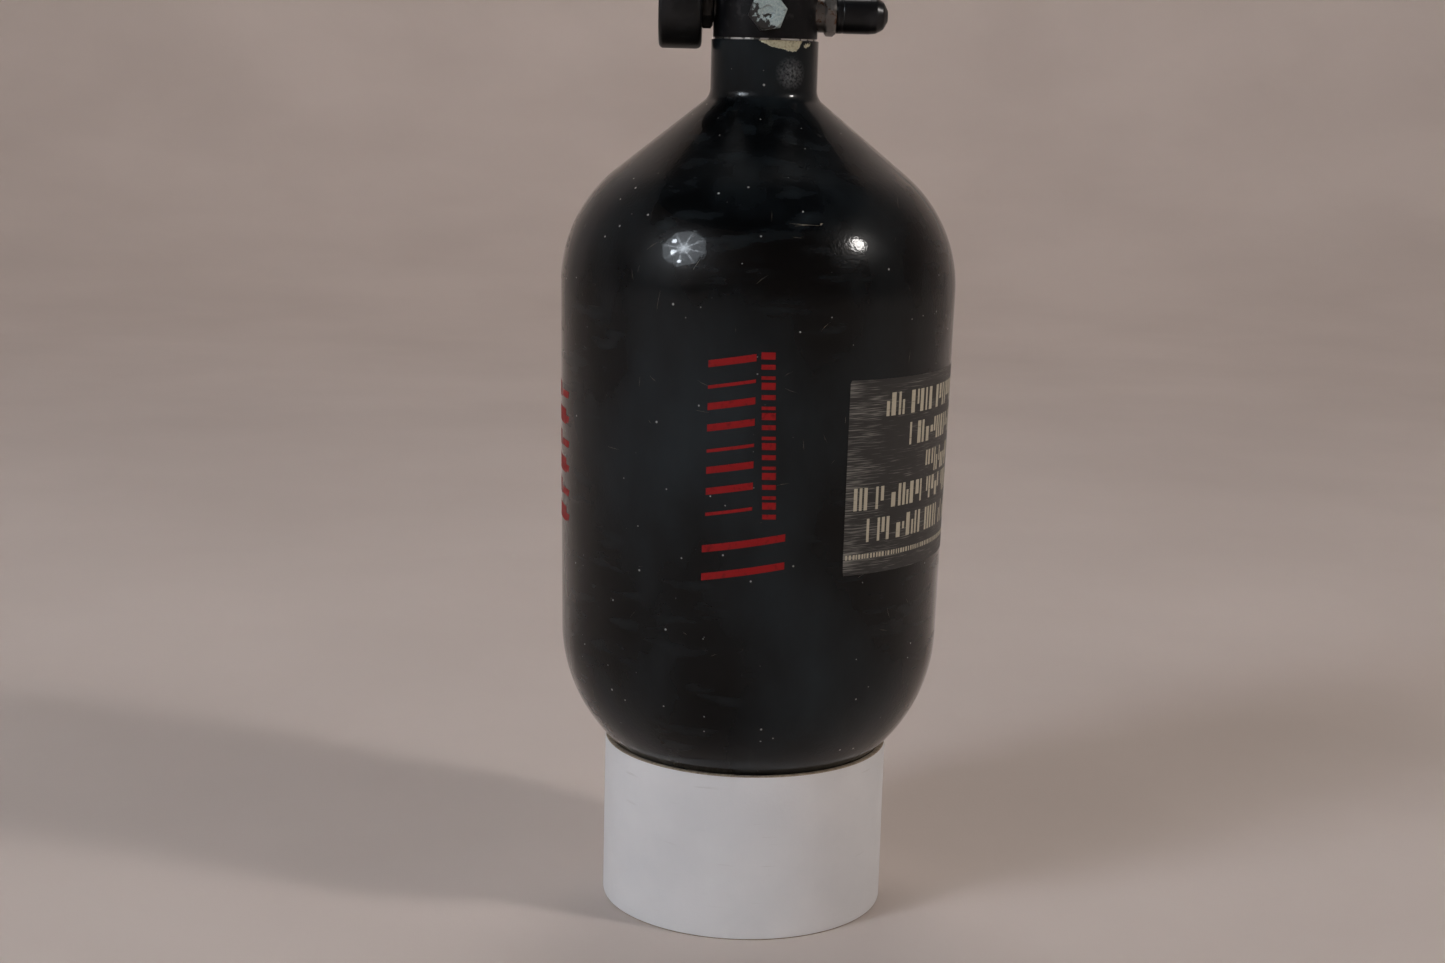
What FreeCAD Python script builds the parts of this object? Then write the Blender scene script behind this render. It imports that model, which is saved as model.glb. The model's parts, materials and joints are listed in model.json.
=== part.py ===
"""High-pressure air tank for a sports marker: a wrapped round-ended bottle, the inline piston
regulator screwed into its neck, and the cardboard ring that the bottle stands in.

Millimetres and degrees, +Z up, origin at the centre of the ring's foot. The burst plug faces -Y,
the fill nipple points along +X and the pressure gauge along -X.
"""
import FreeCAD, Part
import math
import os
import re
import Sketcher

os.makedirs("parts", exist_ok=True)
doc = FreeCAD.newDocument("air_tank")
V = FreeCAD.Vector
UP, RIGHT, LEFT, FRONT, BACK = V(0, 0, 1), V(1, 0, 0), V(-1, 0, 0), V(0, -1, 0), V(0, 1, 0)

# ---------------------------------------------------------------- driving dimensions
sheet = doc.addObject("Spreadsheet::Sheet", "dims")
row = 0


def dimensions(title, **values):
    """Write one titled group of driving dimensions into the sheet, one alias to a row."""
    global row
    row += 1
    sheet.set(f"A{row}", title)
    for alias, number in values.items():
        row += 1
        sheet.set(f"A{row}", alias.replace("_", " "))
        sheet.set(f"B{row}", str(number))
        sheet.setAlias(f"B{row}", alias)


dimensions(
    "Stand: a slice of mailing tube with a paper wrap",
    ring_height=49.0, board_inner=40.0, board_wall=1.8, rim_bevel=0.6, wrap_wall=0.3, wrap_margin=0.3,
)
dimensions(
    "Bottle: heights are above its lowest point",
    bottle_base=34.0, bottle_height=220.0, low_radius=55.4, low_height=48.9, high_radius=56.95,
    high_height=149.7, knuckle_radius=47.0, shoulder_radius=41.3, cone_heading=141.2,
    neck_radius=15.25, neck_root=4.5, coat_wall=0.8, carbon_wall=4.6, liner_wall=2.9,
    coat_step=0.5, neck_bore=7.98, pocket_radius=9.72, pocket_depth=2.2,
)
dimensions(
    "Printed panels on the bottle: start and sweep are angles about the axis from -Y towards +X",
    panel_wall=0.12, spec_start=26.2, spec_sweep=88, spec_low=75.8, spec_high=129.9,
    front_start=-14.8, front_sweep=24.4, front_low=73.8, front_high=139.6,
    side_start=-96, side_sweep=26, side_low=81.0, side_high=125.2,
)
dimensions(
    "Regulator body: heights are above the top of the bottle's neck",
    body_radius=14.8, body_height=30.0, body_bevel=0.5, stub_radius=7.9375, stub_length=15.0,
    stub_pitch=1.411, stub_grooves=8, stub_first=-12.6, stub_passage=2.4, edge_break=0.4,
    chamber_radius=4.6, chamber_floor=2.0, chamber_roof=12.0, guide_bore=3.05,
    gland_radius=4.75, gland_low=14.0, gland_high=15.9, spring_floor=18.0, spring_bore=11.0,
    skirt_bore=12.65, skirt_floor=22.0, weep_radius=0.8, weep_height=20.0, weep_angle=135,
    grip_groove=0.5, grip_low=16.4, grip_high=17.6,
)
dimensions(
    "Ports in the regulator body, as distances out from its axis",
    port_height=7.0, gauge_height=8.6, port_radius=4.88, port_floor=7.5, port_passage=1.2,
    plug_angle=1,
)
dimensions(
    "Seat, piston and spring",
    holder_radius=4.55, holder_high=6.0, seat_radius=2.6, seat_low=4.0, seat_high=6.6,
    slot_radius=0.8, slot_circle=4.0, slot_count=3, stem_radius=3.0, stem_bore=1.2, stem_tip=7.6,
    tip_radius=1.9, head_low=24.6, head_high=28.6, head_radius=10.95, boss_radius=6.0,
    boss_high=30.9, ring_groove=9.4, ring_groove_low=25.7, ring_groove_high=27.5,
    washer_inner=3.4, washer_outer=10.2, washer_wall=0.8, washer_dish=0.5, washer_count=7,
    washer_pitch=0.88,
)
dimensions(
    "Bonnet and marker thread",
    skirt_radius=12.6, skirt_inner=11.05, bonnet_top=42.0, bonnet_bevel=0.8, ceiling=31.0,
    low_chamber=4.0, ledge_low=38.0, ledge_high=40.0, ledge_passage=2.2, cartridge_bore=4.8,
    thread_radius=10.48, thread_pitch=1.814, thread_grooves=6, thread_first=46.2,
    undercut_radius=9.3, undercut_top=43.2, thread_top=56.9, thread_bevel=0.6, seal_neck=8.2,
    lip_low=59.1, lip_radius=8.9, nose_top=60.5, lip_bevel=0.3,
    spanner_radius=1.5, spanner_depth=2.2, spanner_height=33.4, spanner_count=4, spanner_angle=45,
    outlet_height=36.0, outlet_radius=4.0, outlet_floor=8.5, outlet_passage=1.0,
)
dimensions(
    "Pin valve in the marker thread",
    pin_radius=1.5, pin_low=41.0, pin_high=59.9, collar_radius=3.8, collar_low=46.0,
    collar_high=47.5, pin_seal_radius=3.6, pin_seal_high=49.2, sleeve_low=49.25, sleeve_high=59.6,
    sleeve_radius=4.75, sleeve_bore=1.85, sleeve_flare=2.6, flare_depth=1.6, pin_coil=3.2,
    pin_wire=0.35, pin_coil_pitch=1.35,
)
dimensions(
    "Burst plugs, as distances out from the regulator's axis",
    plug_thread=4.8, plug_head_low=14.95, plug_head_high=18.95, plug_flats=9.5, plug_cavity=2.0,
    plug_twist=10, vent_radius=0.9, vent_count=3, vent_spread=120, burst_stack=1.1, disc_wall=0.2,
    disc_gap=0.05, washer_hole=2.0,
    small_thread=3.92, small_head_high=17.6, small_flats=8.0, small_vent_radius=0.7,
)
dimensions(
    "Fill nipple and cap, as distances out from the regulator's axis",
    nipple_thread=4.84, nipple_stem=5.0, hex_low=16.6, hex_high=19.8, hex_flats=11.1, hex_twist=20,
    nose_radius=3.9, nose_end=32.0, nose_bevel=0.6, ball_groove=3.1, ball_low=24.5, ball_high=27.0,
    check_bore=2.6, check_seat=17.0, check_throat=18.4, throat_radius=1.2, filter_seat=29.5,
    filter_radius=2.05, filter_wall=2.3, inlet_ring_mid=4.42, inlet_ring_wire=0.42,
    inlet_groove=3.95, inlet_low=12.4, inlet_high=13.4,
    poppet_radius=2.35, poppet_low=12.2, poppet_shoulder=16.1, poppet_tip=17.4,
    poppet_tip_radius=1.0, check_coil=1.85, check_wire=0.25, check_coil_pitch=0.95,
    cap_low=19.95, cap_end=34.5, cap_radius=5.2, cap_inner=4.2, cap_floor=32.35, cap_round=2.6,
    round_share=0.3,
)
dimensions(
    "Gauge, as distances out from the regulator's axis",
    gauge_hex_low=14.95, gauge_hex_high=18.3, gauge_flats=11.0, gauge_twist=4, gauge_neck=4.0,
    case_back=19.1, case_floor=19.9, case_front=28.9, case_radius=10.7, case_inner=9.95, stem_hole=0.8,
    dial_place=26.2, dial_wall=0.4, dial_radius=9.9, dial_hole=0.8, lens_place=27.95, lens_wall=0.9,
    needle_place=27.0, needle_wall=0.35, needle_length=7.2, needle_tail=2.4, needle_root=0.75,
    needle_tip=0.2, hub_radius=1.2, hub_low=26.75, hub_high=27.7, shaft_radius=0.5, shaft_low=25.4,
    needle_rest=45, bourdon_coil=5.6, bourdon_tube=0.8, bourdon_low=20.8, bourdon_high=25.0,
    bourdon_pitch=1.75,
    boot_back=18.0, boot_front=30.1, boot_radius=12.0, boot_inner=10.75, boot_lip=9.3,
    boot_back_lip=7.0, boot_round=1.5,
)
dimensions(
    "Rubber rings: middle radius, section radius and height above the top of the neck",
    neck_ring_mid=8.83, neck_ring_wire=0.87, neck_ring_height=-1.1,
    stem_ring_mid=3.87, stem_ring_wire=0.84, stem_ring_height=14.95,
    piston_ring_mid=10.22, piston_ring_wire=0.8, piston_ring_height=26.6,
    tank_ring_mid=9.22, tank_ring_wire=1.0, tank_ring_height=58.0,
)
doc.recompute()

BOTTLE = "bottle_base"
NECK = "bottle_base + bottle_height"


def bound(text):
    """Turn a text such as 'port_floor - 2 * disc_wall' into an expression on the sheet."""
    return re.sub(r"\b(?!cos\b|tan\b)[a-z]\w*", r"dims.\g<0>", str(text))


def number(text):
    """The present value of such a text."""
    return float(sheet.evalExpression(bound(text)))


# ---------------------------------------------------------------- helpers
subparts = []


def new_body(label, lift="0", toward=UP, turn="0"):
    """A sub-part whose own +Z points `toward`, at height `lift`, turned about +Z by `turn`."""
    body = doc.addObject("PartDesign::Body", label)
    body.Label = label
    body.Placement.Rotation = FreeCAD.Rotation(UP, number(turn)) * FreeCAD.Rotation(UP, toward)
    body.setExpression(".Placement.Base.z", bound(lift))
    subparts.append(body)
    return body


def origin_feature(body, role):
    return next(f for f in body.Origin.OriginFeatures if f.Role == role)


def new_sketch(body, name, plane="XZ_Plane"):
    sketch = body.newObject("Sketcher::SketchObject", name)
    sketch.AttachmentSupport = (origin_feature(body, plane), [""])
    sketch.MapMode = "FlatFace"
    return sketch


def bind(sketch, kind, place, text):
    """Add a dimension constraint and tie it to the sheet."""
    index = sketch.addConstraint(Sketcher.Constraint(kind, *place, number(text)))
    sketch.setExpression(f"Constraints[{index}]", bound(text))


def bind_point(sketch, geometry, end, across, along):
    """Fix one point of a sketch: 0 puts it on an axis, any other text is a signed distance."""
    for kind, axis, text in (("DistanceX", -2, across), ("DistanceY", -1, along)):
        if str(text) == "0":
            sketch.addConstraint(Sketcher.Constraint("PointOnObject", geometry, end, axis))
        else:
            bind(sketch, kind, (-1, 1, geometry, end), text)


def polygon(body, name, points, plane="XZ_Plane"):
    """Closed straight-sided outline through (across, along) points."""
    sketch = new_sketch(body, name, plane)
    corners = [V(number(across), number(along), 0) for across, along in points]
    for index, corner in enumerate(corners):
        sketch.addGeometry(Part.LineSegment(corner, corners[(index + 1) % len(corners)]), False)
    for index, (across, along) in enumerate(points):
        following = (index + 1) % len(points)
        sketch.addConstraint(Sketcher.Constraint("Coincident", index, 2, following, 1))
        bind_point(sketch, index, 1, across, along)
    doc.recompute()
    return sketch


def spin(body, sketch, kind="Revolution", sweep=360):
    """Revolve a sketch about the body's own Z axis, adding material or cutting a groove."""
    before = body.Shape.Volume if body.Tip else 0.0
    feature = body.newObject(f"PartDesign::{kind}", f"{body.Name}_{kind.lower()}")
    feature.Profile = sketch
    feature.ReferenceAxis = (sketch, ["V_Axis"])
    feature.Angle = sweep
    doc.recompute()
    check_change(body, before, "adds" if kind == "Revolution" else "cuts")
    return feature


def check_change(body, before, effect):
    """Stop if a feature left the volume as it was or moved it the wrong way."""
    change = body.Shape.Volume - before
    if (change <= 0) if effect == "adds" else (change >= 0):
        raise RuntimeError(f"{body.Label}: a feature that {effect} changed {change:.3f} mm3")


def turned(label, outline, lift="0", toward=UP, turn="0"):
    """A lathe piece from its half outline."""
    body = new_body(label, lift, toward, turn)
    spin(body, polygon(body, f"{label}_outline", outline))
    return body


def bore(body, outline):
    """Cut a lathe-turned hollow from its half outline."""
    spin(body, polygon(body, f"{body.Name}_bore", outline), "Groove")


def rod(radius, low, high):
    """Half outline of a plain cylinder."""
    return [("0", low), (radius, low), (radius, high), ("0", high)]


def tube(inner, outer, low, high):
    """Half outline of a plain tube."""
    return [(inner, low), (outer, low), (outer, high), (inner, high)]


def drill(body, radius, start, end, toward, height="0", aside="0"):
    """Cut a round hole from `start` to `end` along `toward`, `aside` from the body's axis."""
    before = body.Shape.Volume
    hole = body.newObject("PartDesign::SubtractiveCylinder", f"{body.Name}_hole")
    hole.setExpression("Radius", bound(radius))
    hole.setExpression("Height", bound(f"({end}) - ({start})"))
    hole.Placement.Rotation = FreeCAD.Rotation(UP, toward)
    for axis, offset in (("x", aside), ("y", "0"), ("z", height)):
        place = f"{offset} + ({start}) * ({getattr(toward, axis):.9f})"
        hole.setExpression(f".Placement.Base.{axis}", bound(place))
    doc.recompute()
    check_change(body, before, "cuts")
    return hole


def around(body, feature, count, spread="360"):
    """Repeat a feature about the body's own Z axis, over a full turn or a part of it."""
    before = body.Shape.Volume
    pattern = body.newObject("PartDesign::PolarPattern", f"{feature.Name}_ring")
    pattern.Originals = [feature]
    pattern.Axis = (origin_feature(body, "Z_Axis"), [""])
    pattern.setExpression("Angle", bound(spread))
    pattern.setExpression("Occurrences", bound(count))
    body.Tip = pattern
    doc.recompute()
    check_change(body, before, "cuts")


def stacked(body, feature, pitch, count, effect):
    """Repeat a feature along the body's own Z axis."""
    before = body.Shape.Volume
    pattern = body.newObject("PartDesign::LinearPattern", f"{feature.Name}_row")
    pattern.Originals = [feature]
    pattern.Direction = (origin_feature(body, "Z_Axis"), [""])
    pattern.setExpression("Length", bound(f"{pitch} * ({count} - 1)"))
    pattern.setExpression("Occurrences", bound(count))
    body.Tip = pattern
    doc.recompute()
    check_change(body, before, effect)


def screw_ridges(body, radius, pitch, first, count):
    """Cut V grooves one pitch apart, 60 degrees wide and 0.6 of a pitch deep."""
    depth, half = f"0.6 * {pitch}", f"0.6 * {pitch} * tan(30)"
    groove = spin(
        body,
        polygon(
            body,
            f"{body.Name}_thread",
            [
                (f"{radius} - {depth}", first),
                (f"{radius} + {depth}", f"{first} - 2 * {half}"),
                (f"{radius} + {depth}", f"{first} + 2 * {half}"),
            ],
        ),
        "Groove",
    )
    stacked(body, groove, pitch, count, "cuts")


def hexagon(body, flats, low, high, twist):
    """Add a six-sided head between two heights, turned by `twist` about the body's Z axis."""
    before = body.Shape.Volume
    head = body.newObject("PartDesign::AdditivePrism", f"{body.Name}_head")
    head.Polygon = 6
    head.setExpression("Circumradius", bound(f"{flats} / 2 / cos(30)"))
    head.setExpression("Height", bound(f"{high} - {low}"))
    head.Placement.Rotation = FreeCAD.Rotation(UP, number(twist))
    head.setExpression(".Placement.Base.z", bound(low))
    doc.recompute()
    check_change(body, before, "adds")


def rubber_ring(label, name, lift=NECK, toward=UP, height=None):
    """A moulded ring of round section."""
    body = new_body(label, lift, toward)
    ring = body.newObject("PartDesign::AdditiveTorus", f"{label}_ring")
    ring.setExpression("Radius1", bound(f"{name}_mid"))
    ring.setExpression("Radius2", bound(f"{name}_wire"))
    ring.setExpression(".Placement.Base.z", bound(height or f"{name}_height"))
    doc.recompute()
    return body


def coil(label, mid, wire, low, high, pitch, lift=NECK, toward=UP):
    """A wound wire or tube whose outside runs from `low` to `high`."""
    body = new_body(label, lift, toward)
    sketch = new_sketch(body, f"{label}_section")
    centre = V(number(mid), number(f"{low} + {wire}"), 0)
    sketch.addGeometry(Part.Circle(centre, V(0, 0, 1), number(wire)), False)
    bind(sketch, "Radius", (0,), wire)
    bind_point(sketch, 0, 3, mid, f"{low} + {wire}")
    doc.recompute()
    winding = body.newObject("PartDesign::AdditiveHelix", f"{label}_winding")
    winding.Profile = sketch
    winding.ReferenceAxis = (sketch, ["V_Axis"])
    winding.Mode = 0
    winding.setExpression("Height", bound(f"{high} - {low} - 2 * {wire}"))
    winding.setExpression("Pitch", bound(pitch))
    doc.recompute()
    return body


# ---------------------------------------------------------------- bottle outline
def bottle_outline(body, name, depth, neck, top=None, root=None):
    """Half outline of the bottle at `depth` under its outer skin.

    It runs from the lowest point along crown arc, knuckle arc, wall, shoulder arc and cone to the
    neck radius. With a `top` it goes on up the neck, and with a `root` it rounds the neck's foot.
    """
    sketch = new_sketch(body, name)
    deep, heading = number(depth), math.radians(number("cone_heading"))
    low = V(number("low_radius") - deep, number("low_height"), 0)
    high = V(number("high_radius") - deep, number("high_height"), 0)
    lean = math.atan2(high.x - low.x, high.y - low.y)
    outward = V(math.cos(lean), -math.sin(lean), 0)
    knuckle, shoulder = number("knuckle_radius") - deep, number("shoulder_radius") - deep
    knuckle_hub, shoulder_hub = low - outward * knuckle, high - outward * shoulder
    # the crown arc is centred on the axis, starts at the lowest point and is tangent to the knuckle
    rise = knuckle_hub.y - deep
    crown = (rise**2 + knuckle_hub.x**2 - knuckle**2) / (2 * (rise - knuckle))
    crown_hub = V(0, deep + crown, 0)
    blend = math.atan2(knuckle_hub.y - crown_hub.y, knuckle_hub.x)
    slope = heading - math.pi / 2
    brink = shoulder_hub + V(math.cos(slope), math.sin(slope), 0) * shoulder
    foot_run = (number(neck) - brink.x) / math.cos(heading)
    foot = brink + V(math.cos(heading), math.sin(heading), 0) * foot_run

    def arc(hub, radius, start, end):
        circle = Part.Circle(hub, V(0, 0, 1), radius)
        return sketch.addGeometry(Part.ArcOfCircle(circle, start, end), False)

    def line(start, end):
        return sketch.addGeometry(Part.LineSegment(start, end), False)

    def rule(kind, *places):
        sketch.addConstraint(Sketcher.Constraint(kind, *places))

    reach = number(root) * math.tan(slope / 2) if root else 0.0
    ahead = V(math.cos(heading), math.sin(heading), 0)
    crown_arc = arc(crown_hub, crown, -math.pi / 2, blend)
    knuckle_arc = arc(knuckle_hub, knuckle, blend, -lean)
    wall = line(low, high)
    shoulder_arc = arc(shoulder_hub, shoulder, -lean, slope)
    cone = line(brink, foot - ahead * reach)
    for first, second in ((crown_arc, knuckle_arc), (knuckle_arc, wall), (wall, shoulder_arc),
                          (shoulder_arc, cone)):
        rule("Tangent", first, 2, second, 1)
    rule("PointOnObject", crown_arc, 3, -2)
    bind_point(sketch, crown_arc, 1, "0", depth)
    bind(sketch, "Radius", (knuckle_arc,), f"knuckle_radius - ({depth})")
    bind(sketch, "Radius", (shoulder_arc,), f"shoulder_radius - ({depth})")
    bind_point(sketch, wall, 1, f"low_radius - ({depth})", "low_height")
    bind_point(sketch, wall, 2, f"high_radius - ({depth})", "high_height")
    bind(sketch, "Angle", (cone,), "cone_heading")
    last, last_end, summit = cone, 2, foot
    if root:
        hub = V(foot.x + number(root), foot.y + reach, 0)
        root_arc = arc(hub, number(root), math.pi, math.pi + slope)
        rule("Tangent", cone, 2, root_arc, 2)
        bind(sketch, "Radius", (root_arc,), root)
        last, last_end, summit = root_arc, 1, V(foot.x, foot.y + reach, 0)
    if top:
        crest = V(number(neck), number(top), 0)
        side = line(summit, crest)
        if root:
            rule("Tangent", last, last_end, side, 1)
        else:
            rule("Coincident", last, last_end, side, 1)
        rule("Vertical", side)
        bind_point(sketch, side, 2, neck, top)
        last, last_end, summit = side, 2, crest
    else:
        bind(sketch, "DistanceX", (-1, 1, cone, 2), neck)
    lid = line(summit, V(0, summit.y, 0))
    rule("Coincident", last, last_end, lid, 1)
    rule("Horizontal", lid)
    axis = line(V(0, summit.y, 0), V(0, deep, 0))
    rule("Coincident", lid, 2, axis, 1)
    rule("Coincident", axis, 2, crown_arc, 1)
    rule("Vertical", axis)
    doc.recompute()
    return sketch


def shell(label, outer, inner, summit=None, root=None, outer_neck="neck_radius", inner_neck=None,
          cut_to=None):
    """One layer of the bottle, from `outer` to `inner` under the skin."""
    body = new_body(label, BOTTLE)
    spin(body, bottle_outline(body, f"{label}_outside", outer, outer_neck, summit, root))
    spin(body, bottle_outline(body, f"{label}_inside", inner, inner_neck, cut_to), "Groove")
    return body


def panel(label, name):
    """A thin film bent round the bottle's wall."""
    body = new_body(label, BOTTLE, turn=f"{name}_start - 90")
    flare = "(high_radius - low_radius) / (high_height - low_height)"
    corners = []
    for end in ("low", "high"):
        height = f"{name}_{end}"
        corners.append((f"low_radius + ({height} - low_height) * {flare}", height))
    corners += [(f"{across} + panel_wall", height) for across, height in reversed(corners)]
    film = spin(body, polygon(body, f"{label}_strip", corners))
    film.setExpression("Angle", bound(f"{name}_sweep"))
    doc.recompute()
    return body


# ---------------------------------------------------------------- stand
board_outer = "board_inner + board_wall"
turned("stand_core", [
    ("board_inner", "0"),
    (board_outer, "0"),
    (board_outer, "ring_height"),
    ("board_inner + rim_bevel", "ring_height"),
    ("board_inner", "ring_height - rim_bevel"),
])
turned("stand_wrap", tube(board_outer, f"{board_outer} + wrap_wall", "wrap_margin",
                          "ring_height - wrap_margin"))

# ---------------------------------------------------------------- bottle
under_coat, under_carbon = "coat_wall", "coat_wall + carbon_wall"
hollow_depth = "coat_wall + carbon_wall + liner_wall"
bare_neck = "neck_radius - coat_wall"
coat_top = "bottle_height - coat_step"
shell("outer_coat", "0", under_coat, coat_top, "neck_root", inner_neck=bare_neck, cut_to=coat_top)
shell("carbon_wrap", under_coat, under_carbon, outer_neck=bare_neck, inner_neck=bare_neck,
      cut_to="bottle_height")
liner = shell("liner", under_carbon, hollow_depth, "bottle_height", outer_neck=bare_neck,
              inner_neck="neck_bore", cut_to="bottle_height")
bore(liner, tube("0", "pocket_radius", "bottle_height - pocket_depth", "bottle_height"))
panel("spec_panel", "spec")
panel("front_panel", "front")
panel("side_panel", "side")

# ---------------------------------------------------------------- regulator body
PORT = f"{NECK} + port_height"
regulator = turned("regulator_body", [
    ("0", "-stub_length"),
    ("stub_radius - 2 * edge_break", "-stub_length"),
    ("stub_radius", "2 * edge_break - stub_length"),
    ("stub_radius", "0"),
    ("body_radius - body_bevel", "0"),
    ("body_radius", "body_bevel"),
    ("body_radius", "grip_low"),
    ("body_radius - grip_groove", "grip_low + grip_groove"),
    ("body_radius - grip_groove", "grip_high - grip_groove"),
    ("body_radius", "grip_high"),
    ("body_radius", "body_height"),
    ("0", "body_height"),
], NECK)
screw_ridges(regulator, "stub_radius", "stub_pitch", "stub_first", "stub_grooves")
bore(regulator, [
    ("0", "-stub_length"),
    ("stub_passage", "-stub_length"),
    ("stub_passage", "chamber_floor"),
    ("chamber_radius", "chamber_floor"),
    ("chamber_radius", "chamber_roof"),
    ("guide_bore", "chamber_roof"),
    ("guide_bore", "gland_low"),
    ("gland_radius", "gland_low"),
    ("gland_radius", "gland_high"),
    ("guide_bore", "gland_high"),
    ("guide_bore", "spring_floor"),
    ("spring_bore", "spring_floor"),
    ("spring_bore", "skirt_floor"),
    ("skirt_bore", "skirt_floor"),
    ("skirt_bore", "body_height"),
    ("0", "body_height"),
])
plug_way = FreeCAD.Rotation(UP, number("plug_angle")) * FRONT
weep_way = FreeCAD.Rotation(UP, number("weep_angle")) * FRONT
for way, height in ((RIGHT, "port_height"), (plug_way, "port_height"), (LEFT, "gauge_height")):
    drill(regulator, "port_radius", "port_floor", "body_radius + 1", way, height)
    drill(regulator, "port_passage", "chamber_radius - 1", "port_floor + 1", way, height)
drill(regulator, "weep_radius", "spring_bore - 1", "body_radius + 1", weep_way, "weep_height")
rubber_ring("neck_ring", "neck_ring")
rubber_ring("stem_ring", "stem_ring")

# ---------------------------------------------------------------- seat, piston and spring
holder = turned("seat_holder", [
    ("0", "chamber_floor"),
    ("holder_radius", "chamber_floor"),
    ("holder_radius", "holder_high"),
    ("seat_radius", "holder_high"),
    ("seat_radius", "seat_low"),
    ("0", "seat_low"),
], NECK)
notch = drill(holder, "slot_radius", "chamber_floor - 1", "holder_high + 1", UP, aside="slot_circle")
around(holder, notch, "slot_count")
turned("valve_seat", rod("seat_radius", "seat_low", "seat_high"), NECK)
turned("piston", [
    ("stem_bore", "stem_tip"),
    ("tip_radius", "stem_tip"),
    ("stem_radius", "stem_tip + stem_radius - tip_radius"),
    ("stem_radius", "head_low"),
    ("head_radius", "head_low"),
    ("head_radius", "ring_groove_low"),
    ("ring_groove", "ring_groove_low"),
    ("ring_groove", "ring_groove_high"),
    ("head_radius", "ring_groove_high"),
    ("head_radius", "head_high"),
    ("boss_radius", "head_high"),
    ("boss_radius", "boss_high"),
    ("stem_bore", "boss_high"),
], NECK)
rubber_ring("piston_ring", "piston_ring")
washers = new_body("spring_washers", f"{NECK} + spring_floor")
washer = spin(washers, polygon(washers, "dished_washer", [
    ("washer_inner", "washer_dish"),
    ("washer_outer", "0"),
    ("washer_outer", "washer_wall"),
    ("washer_inner", "washer_wall + washer_dish"),
]))
stacked(washers, washer, "washer_pitch", "washer_count", "adds")

# ---------------------------------------------------------------- bonnet
bonnet = turned("bonnet", [
    ("0", "skirt_floor + edge_break"),
    ("skirt_radius", "skirt_floor + edge_break"),
    ("skirt_radius", "body_height"),
    ("body_radius", "body_height"),
    ("body_radius", "bonnet_top - bonnet_bevel"),
    ("body_radius - bonnet_bevel", "bonnet_top"),
    ("undercut_radius", "bonnet_top"),
    ("undercut_radius", "undercut_top"),
    ("thread_radius", "undercut_top + thread_radius - undercut_radius"),
    ("thread_radius", "thread_top - thread_bevel"),
    ("thread_radius - thread_bevel", "thread_top"),
    ("seal_neck", "thread_top"),
    ("seal_neck", "lip_low"),
    ("lip_radius", "lip_low"),
    ("lip_radius", "nose_top - lip_bevel"),
    ("lip_radius - lip_bevel", "nose_top"),
    ("0", "nose_top"),
], NECK)
screw_ridges(bonnet, "thread_radius", "thread_pitch", "thread_first", "thread_grooves")
bore(bonnet, [
    ("0", "skirt_floor + edge_break"),
    ("skirt_inner", "skirt_floor + edge_break"),
    ("skirt_inner", "ceiling"),
    ("low_chamber", "ceiling"),
    ("low_chamber", "ledge_low"),
    ("ledge_passage", "ledge_low"),
    ("ledge_passage", "ledge_high"),
    ("cartridge_bore", "ledge_high"),
    ("cartridge_bore", "nose_top"),
    ("0", "nose_top"),
])
drill(bonnet, "outlet_radius", "outlet_floor", "body_radius + 1", BACK, "outlet_height")
drill(bonnet, "outlet_passage", "low_chamber - 1", "outlet_floor + 1", BACK, "outlet_height")
corner_way = FreeCAD.Rotation(UP, number("spanner_angle")) * FRONT
spanner = drill(bonnet, "spanner_radius", "body_radius - spanner_depth", "body_radius + 1", corner_way,
                "spanner_height")
around(bonnet, spanner, "spanner_count")
rubber_ring("tank_ring", "tank_ring")

# ---------------------------------------------------------------- pin valve
turned("valve_pin", [
    ("0", "pin_low"),
    ("pin_radius", "pin_low"),
    ("pin_radius", "collar_low"),
    ("collar_radius", "collar_low"),
    ("collar_radius", "collar_high"),
    ("pin_radius", "collar_high"),
    ("pin_radius", "pin_high - edge_break"),
    ("pin_radius - edge_break", "pin_high"),
    ("0", "pin_high"),
], NECK)
turned("pin_seal", tube("pin_radius", "pin_seal_radius", "collar_high", "pin_seal_high"), NECK)
turned("pin_sleeve", [
    ("sleeve_bore", "sleeve_low"),
    ("sleeve_radius", "sleeve_low"),
    ("sleeve_radius", "sleeve_high"),
    ("sleeve_flare", "sleeve_high"),
    ("sleeve_flare", "sleeve_high - flare_depth"),
    ("sleeve_bore", "sleeve_high - flare_depth"),
], NECK)
coil("pin_spring", "pin_coil", "pin_wire", "ledge_high", "collar_low", "pin_coil_pitch")

# ---------------------------------------------------------------- burst plugs
# a cross vent opens on the middle of every flat, half a flat's turn from the corner
vent_way = FreeCAD.Rotation(UP, number("plug_twist + 30")) * RIGHT


def burst_assembly(prefix, way, lift, floor, thread, thread_end, head_high, flats, vent):
    """A hex plug with cross vents, and the thin disc and washer that it clamps in its port."""
    plug = turned(f"{prefix}_burst_plug", rod(thread, thread_end, "plug_head_low"), lift, way)
    hexagon(plug, flats, "plug_head_low", head_high, "plug_twist")
    vent_height = f"{head_high} - 2 * {vent}"
    bore(plug, rod("plug_cavity", thread_end, vent_height))
    cross_hole = drill(plug, vent, f"-{flats}", flats, vent_way, vent_height)
    around(plug, cross_hole, "vent_count", "vent_spread")
    disc_low = f"{floor} + disc_gap"
    disc_high = f"{disc_low} + disc_wall"
    disc = f"{thread} - disc_gap"
    turned(f"{prefix}_burst_disc", rod(disc, disc_low, disc_high), lift, way)
    turned(f"{prefix}_burst_washer", tube("washer_hole", disc, disc_high, thread_end), lift, way)


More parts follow.
